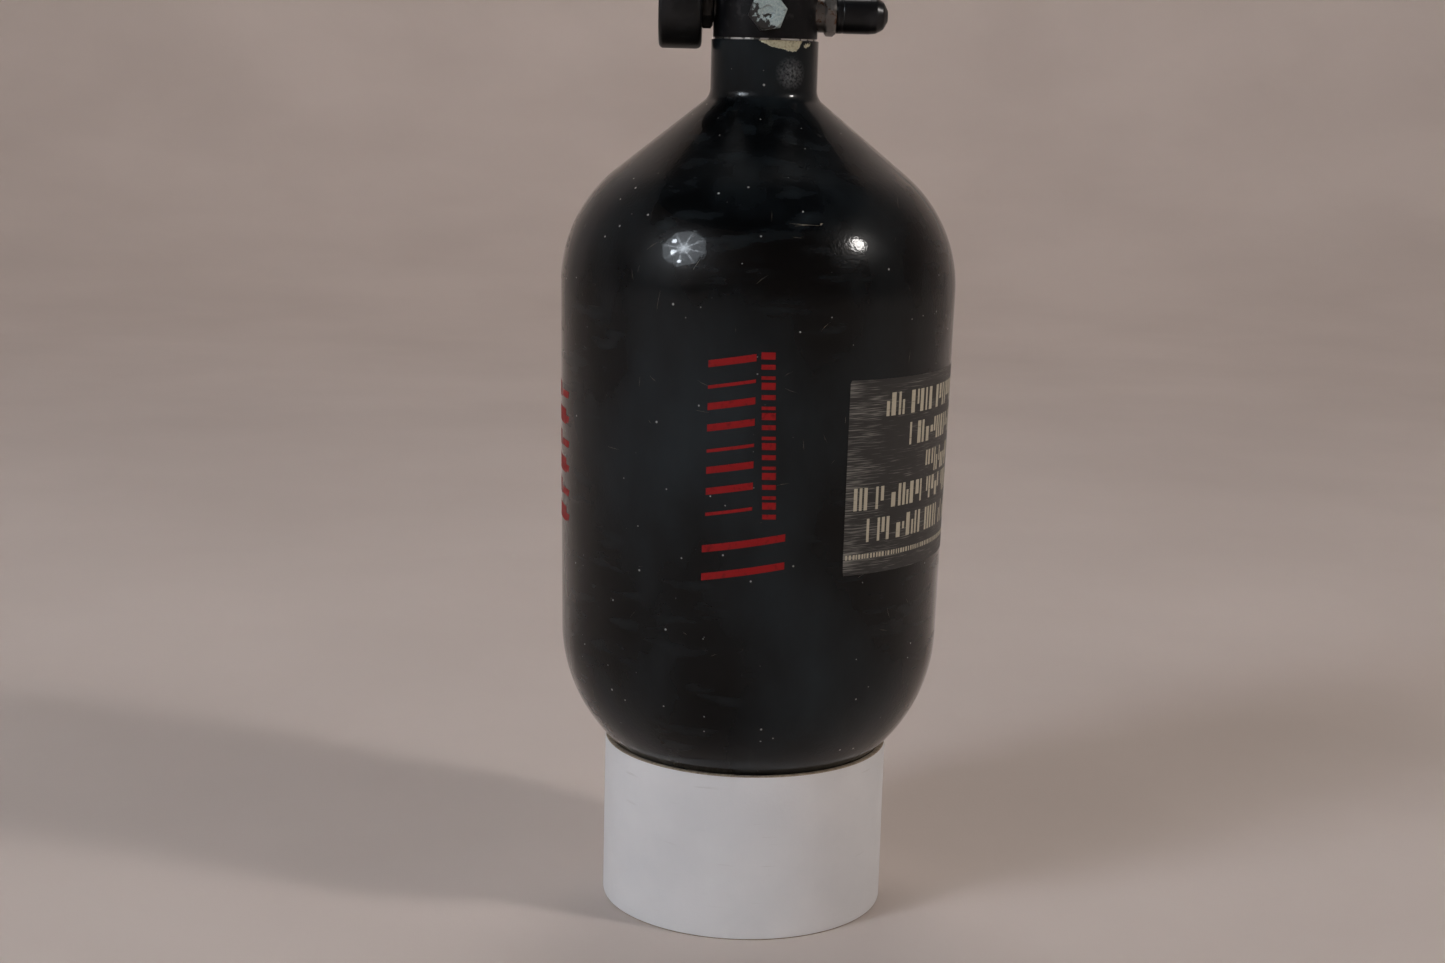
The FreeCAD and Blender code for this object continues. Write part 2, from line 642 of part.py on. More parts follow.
burst_assembly("high", plug_way, PORT, "port_floor", "plug_thread", "port_floor + burst_stack",
               "plug_head_high", "plug_flats", "vent_radius")
burst_assembly("low", BACK, f"{NECK} + outlet_height", "outlet_floor", "small_thread",
               "outlet_floor + burst_stack", "small_head_high", "small_flats", "small_vent_radius")

# ---------------------------------------------------------------- fill nipple
nipple = turned("fill_nipple", [
    ("0", "port_floor + edge_break"),
    ("nipple_thread", "port_floor + edge_break"),
    ("nipple_thread", "inlet_low"),
    ("inlet_groove", "inlet_low"),
    ("inlet_groove", "inlet_high"),
    ("nipple_thread", "inlet_high"),
    ("nipple_thread", "plug_head_low"),
    ("nipple_stem", "plug_head_low"),
    ("nipple_stem", "hex_low"),
    ("nose_radius", "hex_low"),
    ("nose_radius", "ball_low"),
    ("ball_groove", "ball_low + nose_radius - ball_groove"),
    ("ball_groove", "ball_high - nose_radius + ball_groove"),
    ("nose_radius", "ball_high"),
    ("nose_radius", "nose_end - nose_bevel"),
    ("nose_radius - nose_bevel", "nose_end"),
    ("0", "nose_end"),
], PORT, RIGHT)
hexagon(nipple, "hex_flats", "hex_low", "hex_high", "hex_twist")
bore(nipple, [
    ("0", "port_floor + edge_break"),
    ("check_bore", "port_floor + edge_break"),
    ("check_bore", "check_seat"),
    ("throat_radius", "check_throat"),
    ("throat_radius", "filter_seat"),
    ("filter_radius", "filter_seat"),
    ("filter_radius", "nose_end"),
    ("0", "nose_end"),
])
rubber_ring("inlet_ring", "inlet_ring", PORT, RIGHT, "(inlet_low + inlet_high) / 2")
turned("check_poppet", [
    ("0", "poppet_low"),
    ("poppet_radius", "poppet_low"),
    ("poppet_radius", "poppet_shoulder"),
    ("poppet_tip_radius", "poppet_tip"),
    ("0", "poppet_tip"),
], PORT, RIGHT)
coil("check_spring", "check_coil", "check_wire", "port_floor", "poppet_low", "check_coil_pitch", PORT, RIGHT)
turned("inlet_filter", rod("filter_radius", "filter_seat", "filter_seat + filter_wall"), PORT, RIGHT)
turned("nipple_cap", [
    ("cap_inner", "cap_low"),
    ("cap_radius", "cap_low"),
    ("cap_radius", "cap_end - cap_round"),
    ("cap_radius - round_share * cap_round", "cap_end - round_share * cap_round"),
    ("cap_radius - cap_round", "cap_end"),
    ("0", "cap_end"),
    ("0", "cap_floor"),
    ("cap_inner", "cap_floor"),
], PORT, RIGHT)

# ---------------------------------------------------------------- pressure gauge
DIAL = f"{NECK} + gauge_height"
stem = turned("gauge_stem", [
    ("0", "port_floor + edge_break"),
    ("nipple_thread", "port_floor + edge_break"),
    ("nipple_thread", "gauge_hex_low"),
    ("gauge_neck", "gauge_hex_low"),
    ("gauge_neck", "case_back"),
    ("0", "case_back"),
], DIAL, LEFT)
hexagon(stem, "gauge_flats", "gauge_hex_low", "gauge_hex_high", "gauge_twist")
bore(stem, rod("stem_hole", "port_floor + edge_break", "case_back"))
turned("gauge_case", [
    ("stem_hole", "case_back"),
    ("case_radius", "case_back"),
    ("case_radius", "case_front"),
    ("case_inner", "case_front"),
    ("case_inner", "case_floor"),
    ("stem_hole", "case_floor"),
], DIAL, LEFT)
coil("bourdon_tube", "bourdon_coil", "bourdon_tube", "bourdon_low", "bourdon_high", "bourdon_pitch", DIAL,
     LEFT)
turned("gauge_dial", tube("dial_hole", "dial_radius", "dial_place", "dial_place + dial_wall"), DIAL, LEFT)
turned("gauge_lens", rod("dial_radius", "lens_place", "lens_place + lens_wall"), DIAL, LEFT)
needle = turned("gauge_needle", [
    ("0", "shaft_low"),
    ("shaft_radius", "shaft_low"),
    ("shaft_radius", "hub_low"),
    ("hub_radius", "hub_low"),
    ("hub_radius", "hub_high"),
    ("0", "hub_high"),
], DIAL, LEFT)
pointer_outline = polygon(needle, "pointer_outline", [
    ("-needle_root", "-needle_tail"),
    ("needle_root", "-needle_tail"),
    ("needle_tip", "needle_length"),
    ("-needle_tip", "needle_length"),
], "XY_Plane")
pointer_outline.setExpression(".AttachmentOffset.Base.z", bound("needle_place"))
pointer_outline.AttachmentOffset.Rotation = FreeCAD.Rotation(UP, number("needle_rest"))
pointer = needle.newObject("PartDesign::Pad", "pointer")
pointer.Profile = pointer_outline
pointer.setExpression("Length", bound("needle_wall"))
doc.recompute()
turned("gauge_boot", [
    ("boot_back_lip", "boot_back"),
    ("boot_radius - boot_round", "boot_back"),
    ("boot_radius", "boot_back + boot_round"),
    ("boot_radius", "boot_front - boot_round"),
    ("boot_radius - round_share * boot_round", "boot_front - round_share * boot_round"),
    ("boot_radius - boot_round", "boot_front"),
    ("boot_lip", "boot_front"),
    ("boot_lip", "case_front"),
    ("boot_inner", "case_front"),
    ("boot_inner", "case_back"),
    ("boot_back_lip", "case_back"),
], DIAL, LEFT)

# ---------------------------------------------------------------- checks and files
doc.recompute()
for thing in doc.Objects:
    if {"Invalid", "Error"} & set(thing.State):
        raise RuntimeError(f"{thing.Label} is {thing.State}")
for body in subparts:
    if body.Shape.isNull() or not body.Shape.isValid():
        raise RuntimeError(f"{body.Label} has no valid shape")
for body in subparts:
    body.Shape.exportStep(f"parts/{body.Label}.step")
    print(f"{body.Label}: {len(body.Shape.Solids)} solid, {body.Shape.Volume:.1f} mm3")
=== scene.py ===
# %% [markdown]
# # A compressed-air tank, standing in its cardboard ring
#
# The object is the air supply of a sports marker: a carbon-wrapped bottle under thick black
# lacquer, an inline regulator screwed into its neck, and the paper-covered ring it stands in.
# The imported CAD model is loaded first. It fixes every size and place, so the work here is to
# dress it: each visible piece gets a finer mesh on the same spot, and each hidden one a finish.

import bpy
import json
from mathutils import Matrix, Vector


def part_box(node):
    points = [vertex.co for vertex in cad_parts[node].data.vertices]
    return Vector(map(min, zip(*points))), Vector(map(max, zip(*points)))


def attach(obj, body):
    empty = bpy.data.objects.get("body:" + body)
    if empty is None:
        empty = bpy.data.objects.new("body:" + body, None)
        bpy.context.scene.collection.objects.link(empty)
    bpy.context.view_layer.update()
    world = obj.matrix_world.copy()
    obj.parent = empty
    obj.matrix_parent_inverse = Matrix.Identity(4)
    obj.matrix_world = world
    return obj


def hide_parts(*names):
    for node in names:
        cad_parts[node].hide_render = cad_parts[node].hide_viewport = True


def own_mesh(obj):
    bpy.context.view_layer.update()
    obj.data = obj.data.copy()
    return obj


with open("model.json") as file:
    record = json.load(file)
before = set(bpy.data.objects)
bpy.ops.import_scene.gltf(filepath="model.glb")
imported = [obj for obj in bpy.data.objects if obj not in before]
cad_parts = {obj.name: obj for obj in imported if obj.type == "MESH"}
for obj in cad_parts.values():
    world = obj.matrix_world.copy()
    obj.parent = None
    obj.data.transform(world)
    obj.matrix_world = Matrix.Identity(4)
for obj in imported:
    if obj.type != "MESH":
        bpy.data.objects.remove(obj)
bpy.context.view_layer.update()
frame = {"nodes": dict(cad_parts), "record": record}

# %% [markdown]
# ## Units and places
#
# Blender counts in metres, but a maker thinks of these parts in millimetres, so every outline
# below is in millimetres and is scaled once, when its mesh is made. Places are read from the
# CAD nodes. `node_box` gives a node's corners, and `reach` measures a part that points sideways
# out of the regulator: where it starts and ends, its radius, and the height of its axis. The
# front plug sits one degree round from the front, so `FRONT` is 1.

# %% Units and places
import bmesh
import bpy
import json
import math
import random
from mathutils import Matrix, Vector, noise

MM = 0.001


def node_box(node):
    """Lowest and highest corner of a CAD node, in millimetres."""
    low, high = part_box(node)
    return low / MM, high / MM


def direction(azimuth):
    """The level direction at an azimuth in degrees, from -Y (the front) towards +X."""
    turn = math.radians(azimuth)
    return Vector((math.sin(turn), -math.cos(turn), 0))


def reach(node, azimuth):
    """Near end, far end, radius and axis height of a part that points out at an azimuth."""
    points = [vertex.co / MM for vertex in frame["nodes"][node].data.vertices]
    out = [point.dot(direction(azimuth)) for point in points]
    up = [point.z for point in points]
    return min(out), max(out), (max(up) - min(up)) / 2, (max(up) + min(up)) / 2


FRONT, RIGHT, BACK, LEFT = 1, 90, 180, -90
NECK_TOP = node_box("liner")[1].z
print("top of the neck at", round(NECK_TOP, 2), "mm")

# %% [markdown]
# ## The camera
#
# The view comes first, because it decides how much detail each piece needs. The lens is a
# little longer than normal and looks down at the bottle from the height of its neck. The
# camera leans a degree and a half, and its frame cuts the regulator off at the top.

# %% The camera
EYE = Vector((-8.77, -633.0, 247.6)) * MM
LOOK_DOWN = math.radians(10.9)
LEAN = math.radians(1.51)
LENS = 54.48

lens = bpy.data.cameras.new("studio_lens")
lens.lens = LENS
lens.sensor_width = 36
camera = bpy.data.objects.new("studio_camera", lens)
tilt = Matrix.Rotation(math.pi / 2 - LOOK_DOWN, 4, "X") @ Matrix.Rotation(LEAN, 4, "Z")
camera.matrix_world = Matrix.Translation(EYE) @ tilt
bpy.context.scene.collection.objects.link(camera)
bpy.context.scene.camera = camera
bpy.context.scene.view_settings.view_transform = "Standard"
print("camera", round(EYE.length, 3), "m from the ring's foot")

# %% [markdown]
# ## A helper for finishes
#
# Every finish below is one Principled shader with a few procedural nodes in front of it. The
# nodes could be wired one by one, but the same handful comes back each time: noise, a range
# that sharpens it, a mix of two colours, and a bump. `Finish` wraps those, so that a finish
# reads like a recipe. Coordinates are the object's own, in metres, so patterns keep their size
# and travel with a piece when it moves.

# %% A helper for finishes
FINISHES = {}


class Finish:
    """One material: a Principled shader and the nodes that vary it."""

    def __init__(self, name, **sockets):
        self.material = bpy.data.materials.new(name)
        self.material.use_nodes = True
        self.tree = self.material.node_tree
        self.shader = self.tree.nodes["Principled BSDF"]
        self.place = self.add("ShaderNodeTexCoord").outputs["Object"]
        self.paint(**sockets)
        FINISHES[name] = self.material

    def feed(self, socket, value):
        if isinstance(value, bpy.types.NodeSocket):
            self.tree.links.new(value, socket)
        else:
            socket.default_value = value

    def paint(self, **sockets):
        """Set or link sockets of the shader: base_color is its Base Color, and so on."""
        for name, value in sockets.items():
            title = name.replace("_", " ").title().replace("Ior", "IOR")
            if isinstance(value, tuple):
                value = (*value, 1)
            self.feed(self.shader.inputs[title], value)

    def add(self, kind, *values, **settings):
        node = self.tree.nodes.new(kind)
        for name, setting in settings.items():
            setattr(node, name, setting)
        for socket, value in zip(node.inputs, values):
            self.feed(socket, value)
        return node

    def math(self, operation, *values):
        return self.add("ShaderNodeMath", *values, operation=operation).outputs[0]

    def times(self, first, second):
        return self.math("MULTIPLY", first, second)

    def plus(self, first, second):
        return self.math("ADD", first, second)

    def split(self, place=None):
        """The three coordinates of a place, one by one."""
        return self.add("ShaderNodeSeparateXYZ", place or self.place).outputs

    def distance(self, spot):
        """How far a point of the surface is from a spot, in metres."""
        return self.add("ShaderNodeVectorMath", self.place, spot, operation="DISTANCE").outputs[1]

    def scaled(self, x, y, z, place=None):
        """Coordinates stretched by a factor along each axis."""
        node = self.add("ShaderNodeVectorMath", place or self.place, (x, y, z), operation="MULTIPLY")
        return node.outputs[0]

    def wrapped(self, radius, across, along):
        """Coordinates that run round the vertical axis and up it, each with its own scale."""
        parts = self.split()
        angle = self.math("ARCTAN2", parts[0], self.times(parts[1], -1.0))
        arc = self.times(angle, radius * across)
        height = self.times(parts[2], along)
        return self.add("ShaderNodeCombineXYZ", arc, height, 0.0).outputs[0]

    def noise(self, scale, detail=2.0, place=None):
        node = self.add("ShaderNodeTexNoise", place or self.place)
        node.inputs["Scale"].default_value = scale
        node.inputs["Detail"].default_value = detail
        return node.outputs[0]

    def cells(self, scale, place=None):
        """Distance to the nearest cell centre, and a random grey that is the same in a cell."""
        node = self.add("ShaderNodeTexVoronoi", place or self.place)
        node.inputs["Scale"].default_value = scale
        grey = self.split(node.outputs["Color"])[0]
        return node.outputs["Distance"], grey

    def span(self, value, low, high, start=0.0, end=1.0):
        """Stretch a range of a value over another range, and hold it there."""
        node = self.add("ShaderNodeMapRange", value, low, high, start, end)
        return node.outputs[0]

    def mix(self, share, first, second):
        """Blend two colours."""
        node = self.add("ShaderNodeMix", data_type="RGBA")
        colours = [(*c, 1) if isinstance(c, tuple) else c for c in (first, second)]
        for socket, value in zip((node.inputs[0], *node.inputs[6:8]), (share, *colours)):
            self.feed(socket, value)
        return node.outputs[2]

    def bump(self, height, depth, layer="normal"):
        """Raise the surface by a height pattern; depth is in millimetres."""
        node = self.add("ShaderNodeBump")
        node.inputs["Distance"].default_value = depth * MM
        self.feed(node.inputs["Height"], height)
        self.paint(**{layer: node.outputs[0]})


print("finish helper ready")

# %% [markdown]
# ## Floor and studio light
#
# The set is a wide bowl: a flat floor that curves up into a wall all the way round, so there is
# no horizon from any side. A flat plane and a grey world would be simpler, but black lacquer is
# a mirror, and what it mirrors is the set. `lathe` spins an outline into a mesh and is the most
# used tool here, since nearly every part of this object was turned.

# %% The lathe
def rounded(corners, steps=6):
    """Corner points with their fillets: (radius, height) stays sharp, a third number rounds it."""
    points = []
    for index, corner in enumerate(corners):
        here = Vector(corner[:2])
        if len(corner) == 2:
            points.append(here)
            continue
        before = Vector(corners[index - 1][:2]) - here
        after = Vector(corners[(index + 1) % len(corners)][:2]) - here
        reach_back = corner[2] / math.tan(before.angle(after) / 2)
        start = here + before.normalized() * reach_back
        end = here + after.normalized() * reach_back
        for step in range(steps + 1):
            share = step / steps
            points.append(start * (1 - share) ** 2 + here * 2 * share * (1 - share) + end * share**2)
    return points


def lathe(name, points, steps=144, shape=None, place=None):
    """Spin (radius, height) points about +Z. Points on the axis close the ends, and an outline
    without any is joined end to start, as a tube is. `shape` may change the radius on the way
    round, and `place` moves the finished mesh."""
    mesh_maker = bmesh.new()
    rings = []
    for radius, height in points:
        ring = []
        for step in range(steps if radius > 1e-6 else 1):
            azimuth = 360 * step / steps
            size = shape(radius, height, azimuth) if shape else radius
            ring.append(mesh_maker.verts.new((direction(azimuth) * size + Vector((0, 0, height))) * MM))
        rings.append(ring)
    pairs = list(zip(rings, rings[1:]))
    if len(rings[0]) > 1 and len(rings[-1]) > 1:
        pairs.append((rings[-1], rings[0]))
    for lower, upper in pairs:
        for step in range(steps):
            after = (step + 1) % steps
            corners = [lower[step % len(lower)], lower[after % len(lower)],
                       upper[after % len(upper)], upper[step % len(upper)]]
            mesh_maker.faces.new(dict.fromkeys(corners))
    return finished(name, mesh_maker, place)


def finished(name, mesh_maker, place=None, sharp=35):
    """Turn a bmesh into an object: faces outwards, smooth apart from real edges."""
    if place:
        mesh_maker.transform(place)
    bmesh.ops.recalc_face_normals(mesh_maker, faces=mesh_maker.faces)
    mesh = bpy.data.meshes.new(name)
    mesh_maker.to_mesh(mesh)
    mesh_maker.free()
    mesh.shade_smooth()
    mesh.set_sharp_from_angle(angle=math.radians(sharp))
    piece = bpy.data.objects.new(name, mesh)
    bpy.context.scene.collection.objects.link(piece)
    return piece


print("lathe ready")

# %% Floor
BOWL_RADIUS, BOWL_HEIGHT, BOWL_SWEEP = 2700, 3300, 1300
floor_finish = Finish("pale_floor", roughness=0.85)
mottle = floor_finish.span(floor_finish.noise(4.5, 6.0), 0.35, 0.7)
floor_finish.paint(base_color=floor_finish.mix(mottle, (0.555, 0.48, 0.44), (0.50, 0.43, 0.393)))
floor_finish.bump(floor_finish.noise(900, 3.0), 0.05)
floor = lathe("studio_floor", rounded([(0, 0), (BOWL_RADIUS, 0, BOWL_SWEEP), (BOWL_RADIUS, BOWL_HEIGHT)], 24))
floor.data.materials.append(floor_finish.material)
print("floor bowl", BOWL_RADIUS * 2 * MM, "m across")

# %% [markdown]
# A small round key light stands high on the right: its reflection is the hard white spot on the
# shoulder, and its shadow falls to the left. On the left hangs an eight-sided softbox. Its
# reflection shows the box's ribs, its bright middle and three bulbs behind the cloth, so it is a
# glowing mesh with that pattern: a plain area light would mirror as a featureless disc. Two soft
# lamps fill in: one washes the wall behind, and one hangs high at the back, where the front
# can't mirror it.

# %% Lights
AIM = Vector((0, 0, 170)) * MM


def lamp_place(azimuth, elevation, distance):
    """A place and a turn for a lamp that looks at the bottle's middle."""
    rise = math.radians(elevation)
    away = direction(azimuth) * math.cos(rise) + Vector((0, 0, math.sin(rise)))
    return Matrix.Translation(AIM + away * distance) @ away.to_track_quat("Z", "Y").to_matrix().to_4x4()


def lamp(name, power, size, place, colour):
    light = bpy.data.lights.new(name, "AREA")
    light.shape = "DISK"
    light.energy = power
    light.size = size
    light.color = colour
    holder = bpy.data.objects.new(name, light)
    holder.matrix_world = place
    bpy.context.scene.collection.objects.link(holder)
    return holder


lamp("key_lamp", 14, 0.26, lamp_place(67, 33, 2.0), (1.0, 0.96, 0.92))
lamp("back_lamp", 7, 0.8, lamp_place(180, 64, 1.9), (1.0, 0.96, 0.92))
WASH = Matrix.Translation((0, 1.1, 2.5)) @ Matrix.Rotation(math.radians(84), 4, "X")
lamp("backdrop_wash", 24, 1.2, WASH, (1.0, 0.95, 0.91))

world = bpy.data.worlds.new("dim_room")
world.use_nodes = True
world.node_tree.nodes["Background"].inputs[0].default_value = (0.035, 0.037, 0.042, 1)
bpy.context.scene.world = world
print(len(bpy.data.lights), "lamps")

# %% The eight-sided softbox
SOFTBOX_RADIUS, SOFTBOX_DEPTH, RIBS = 460, 12, 8
CLOTH_GLOW, RIB_GLOW, MIDDLE_GLOW, BULB_GLOW = 4.5, 4.0, 40.0, 75.0
BULBS = [(-0.55, 0.28, 0.13), (-0.40, -0.30, 0.15), (0.02, -0.70, 0.11)]
box_radius = SOFTBOX_RADIUS * MM
glow = Finish("softbox_cloth", base_color=(0.8, 0.8, 0.8))
flat = glow.split()
from_middle = glow.times(glow.distance((0, 0, 0)), 1 / box_radius)
turn = glow.times(glow.math("ARCTAN2", flat[1], flat[0]), RIBS / 2)
rib = glow.span(glow.math("ABSOLUTE", glow.math("SINE", turn)), 0.30, 0.05)
rib = glow.times(rib, glow.span(from_middle, 0.05, 0.85, MIDDLE_GLOW, RIB_GLOW))
fabric = glow.plus(glow.span(from_middle, 0.0, 0.35, MIDDLE_GLOW, CLOTH_GLOW), rib)
for left, up, size in BULBS:
    offset = glow.distance((left * box_radius, up * box_radius, 0))
    bulb = glow.span(offset, size * box_radius, 0.6 * size * box_radius, 0.0, BULB_GLOW)
    fabric = glow.plus(fabric, bulb)
glow.paint(emission_color=(0.84, 0.92, 1.0), emission_strength=fabric)
softbox_outline = [(0, 0), (SOFTBOX_RADIUS, 0), (SOFTBOX_RADIUS, SOFTBOX_DEPTH), (0, SOFTBOX_DEPTH)]
softbox = lathe("softbox", softbox_outline, steps=RIBS)
softbox.matrix_world = lamp_place(-49, 31, 2.0)
softbox.data.materials.append(glow.material)
softbox.visible_camera = False
print("softbox", 2 * SOFTBOX_RADIUS, "mm across its corners")

# %% [markdown]
# ## Handing a piece over
#
# A finished mesh needs three things said about it: which finish it wears, which CAD body it
# rides on, and which CAD nodes it stands for. `dress` says them all. The finish has the name of
# the record's material slot, so one word serves both.

# %% Handing a piece over
def dress(piece, finish, body, *stands_for):
    """Give a piece its finish and slot, its body, and the CAD nodes that it replaces."""
    piece.data.materials.clear()
    piece.data.materials.append(FINISHES[finish])
    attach(piece, body)
    if stands_for:
        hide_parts(*stands_for)
    print(f"{piece.name}: {len(piece.data.polygons)} faces, on {body}")
    return piece


# %% [markdown]
# ## The cardboard ring
#
# The stand is a slice of mailing tube. The board is grey-brown and fibrous, and its sawn rim
# shows. White paper is glued round it. Real glued paper is never a perfect cylinder, so its
# radius wanders by a few hundredths of a millimetre and it overlaps itself in one seam at the
# back. That is done with a `shape` function on the lathe: a bump texture would leave the
# outline straight.

# %% Board finish
board = Finish("board", roughness=0.95)
fibre = board.noise(1.0, 6.0, board.wrapped(0.042, 900, 4200))
ply = board.span(board.noise(1.0, 3.0, board.scaled(2600, 2600, 300)), 0.35, 0.65)
tone = board.mix(ply, (0.30, 0.235, 0.165), (0.185, 0.14, 0.10))
board.paint(base_color=board.mix(board.span(fibre, 0.4, 0.62), tone, (0.36, 0.29, 0.215)))
board.bump(fibre, 0.12)

# %% Paper finish
paper = Finish("paper", roughness=0.82, sheen_weight=0.12)
pulp = paper.noise(1600, 5.0)
cloud = paper.span(paper.noise(42, 4.0), 0.3, 0.7)
sheet = paper.mix(cloud, (0.71, 0.70, 0.705), (0.635, 0.63, 0.64))
scuff_line = paper.span(paper.noise(1.0, 4.0, paper.wrapped(0.042, 60, 700)), 0.66, 0.74, 0.0, 0.35)
paper.paint(base_color=paper.mix(scuff_line, sheet, (0.46, 0.44, 0.42)))
paper.bump(paper.plus(pulp, paper.times(paper.noise(260, 3.0), 1.6)), 0.045)

# %% Ring pieces
board_high = node_box("stand_core")[1]
paper_low, paper_high = node_box("stand_wrap")
BOARD_WALL, SEAM_AZIMUTH, SEAM_WIDTH, SEAM_STEP = 1.8, 152, 9, 0.12
PAPER_WANDER = 0.045


def frayed_rim(radius, height, azimuth):
    """The saw leaves the top of the board a little uneven."""
    rough = noise.noise(Vector((azimuth * 0.9, radius * 2, 3.1))) + noise.noise(Vector((azimuth * 0.2, 0, 9)))
    near_top = max(0.0, (height - board_high.z + 1.2) / 1.2)
    return radius + 0.09 * rough * near_top


def cockled(radius, height, azimuth):
    """Glued paper: shallow waves, and a double layer along the seam."""
    if radius <= board_high.x + 0.05:
        return radius
    turn = math.radians(azimuth)
    wave = noise.noise(Vector((math.cos(turn) * 2.6, math.sin(turn) * 2.6, height * 0.055)))
    seam = SEAM_STEP if abs(azimuth - SEAM_AZIMUTH) < SEAM_WIDTH / 2 else 0.0
    return radius + PAPER_WANDER * (wave - 0.6) + seam - SEAM_STEP


inner = board_high.x - BOARD_WALL
dress(
    lathe(
        "ring_board",
        rounded([
            (inner, 0, 0.3), (board_high.x, 0, 0.15), (board_high.x, board_high.z, 0.25),
            (inner + 0.4, board_high.z, 0.35), (inner, board_high.z - 0.8, 0.3),
        ]),
        steps=288,
        shape=frayed_rim,
    ),
    "board", "stand", "stand_core",
)
paper_rows = [paper_low.z + 0.35 + (paper_high.z - paper_low.z - 0.7) * row / 40 for row in range(41)]
dress(
    lathe(
        "ring_paper",
        [(board_high.x + 0.01, paper_high.z), (board_high.x + 0.01, paper_low.z),
         (paper_high.x - 0.06, paper_low.z), *((paper_high.x, height) for height in paper_rows),
         (paper_high.x - 0.06, paper_high.z)],
        steps=360,
        shape=cockled,
    ),
    "paper", "stand", "stand_wrap",
)

# %% [markdown]
# ## The bottle
#
# The bottle's outline is five tangent pieces: a shallow crown underneath, the knuckle, a wall
# that widens slightly upwards, the round shoulder and a straight cone, then the neck. Tracing it
# by hand would leave flat spots that lacquer shows at once, so each arc is worked out from its
# radius and from where the wall starts and ends. `bottle_radius` reads the same outline back, to
# lay labels and scratches on the curve.

# %% Bottle outline
coat_low, coat_high = node_box("outer_coat")
POLE, RIM = coat_low.z, coat_high.z
WALL_LOW = Vector((55.4, POLE + 48.9))
WALL_HIGH = Vector((coat_high.x, POLE + 149.7))
KNUCKLE, SHOULDER, NECK_ROOT = 47.0, 41.3, 4.5
CONE_SLOPE = math.radians(51.2)
NECK_RADIUS, COAT_WALL = 15.25, 0.8


def arc(hub, radius, start, end, steps):
    """Points of an arc about a hub, between two angles from the outward direction."""
    turns = [start + (end - start) * step / steps for step in range(steps + 1)]
    return [hub + Vector((math.cos(turn), math.sin(turn))) * radius for turn in turns]


def bottle_outline(inset=0.0):
    """The half outline, from the lowest point up to the neck's root, `inset` under the skin."""
    lean = math.atan2(WALL_HIGH.x - WALL_LOW.x, WALL_HIGH.y - WALL_LOW.y)
    outward = Vector((math.cos(lean), -math.sin(lean)))
    knuckle_hub = WALL_LOW - outward * KNUCKLE
    shoulder_hub = WALL_HIGH - outward * SHOULDER
    rise = knuckle_hub.y - POLE
    crown = (rise**2 + knuckle_hub.x**2 - KNUCKLE**2) / (2 * (rise - KNUCKLE))
    crown_hub = Vector((0, POLE + crown))
    blend = math.atan2(knuckle_hub.y - crown_hub.y, knuckle_hub.x)
    points = arc(crown_hub, crown - inset, -math.pi / 2, blend, 16)
    points += arc(knuckle_hub, KNUCKLE - inset, blend, -lean, 30)[1:]
    wall_rows = 24
    top = shoulder_hub + outward * (SHOULDER - inset)
    points += [points[-1].lerp(top, row / wall_rows) for row in range(1, wall_rows)]
    points += arc(shoulder_hub, SHOULDER - inset, -lean, CONE_SLOPE, 34)
    brink, neck = points[-1], NECK_RADIUS - inset
    foot_height = brink.y + (brink.x - neck) / math.tan(CONE_SLOPE)
    back = NECK_ROOT * math.tan(CONE_SLOPE / 2)
    cone_end = Vector((neck, foot_height)).lerp(brink, back / (brink - Vector((neck, foot_height))).length)
    points += [brink.lerp(cone_end, row / 10) for row in range(1, 10)]
    root_hub = Vector((neck + NECK_ROOT, foot_height + back))
    points += arc(root_hub, NECK_ROOT, math.pi + CONE_SLOPE, math.pi, 8)
    return points


outer_skin = bottle_outline()
outer_skin[0].x = 0.0


def bottle_radius(height):
    """Radius of the outer skin at a height."""
    for lower, upper in zip(outer_skin, outer_skin[1:]):
        if lower.y <= height <= upper.y:
            return lower.x + (upper.x - lower.x) * (height - lower.y) / (upper.y - lower.y)
    return NECK_RADIUS


print("bottle", round(RIM - POLE, 1), "mm tall,", len(outer_skin), "outline points")

# %% [markdown]
# ## Black lacquer
#
# The lacquer is black and deep, but it has been carried and wiped for years. Two gloss layers
# give that: the clear coat stays sharp and mirrors the lamps, and the layer under it is duller
# where there is haze, which makes the soft glow round each reflection. On top lie dust specks
# and, at the lip of the neck, a chip that has gone through to the cream filler. The chip is a
# real dent in the mesh, and the mesh also carries it as an attribute that the finish reads.

# %% Lacquer finish
# A spot on the neck, right of the front and below the chip, gets a pale grey patch: partly a greasy smudge,
# partly a painted highlight standing in for the lamps' soft streak on the neck.
SMUDGE_AND_SHEEN_SPOT = direction(29) * NECK_RADIUS + Vector((0, 0, POLE + 210.5))
lacquer = Finish("coat", coat_weight=1.0, coat_roughness=0.02, coat_ior=1.24,
                 specular_ior_level=0.07)
haze = lacquer.span(lacquer.noise(24, 8.0, lacquer.scaled(1.0, 1.0, 0.55)), 0.44, 0.70)
wiped = lacquer.span(lacquer.noise(1.0, 5.0, lacquer.wrapped(0.056, 55, 210)), 0.50, 0.80)
film = lacquer.math("MAXIMUM", haze, lacquer.times(wiped, 0.7))
near, pick = lacquer.cells(260)
near = lacquer.plus(near, lacquer.span(lacquer.noise(2400, 2.0), 0.0, 1.0, -0.03, 0.03))
speck = lacquer.span(lacquer.math("SUBTRACT", lacquer.span(pick, 0.35, 1.0, 0.0, 0.10), near), 0.0, 0.03)
bare = lacquer.span(lacquer.add("ShaderNodeAttribute", attribute_name="bare").outputs["Fac"], 0.4, 0.6)
crumb = lacquer.span(lacquer.noise(1500, 4.0), 0.45, 0.7)
filler = lacquer.mix(crumb, (0.43, 0.40, 0.285), (0.25, 0.23, 0.16))
black = lacquer.mix(film, (0.0006, 0.0008, 0.0010), (0.0120, 0.0165, 0.0195))
dust_and_sheen = lacquer.mix(speck, black, (0.36, 0.36, 0.345))
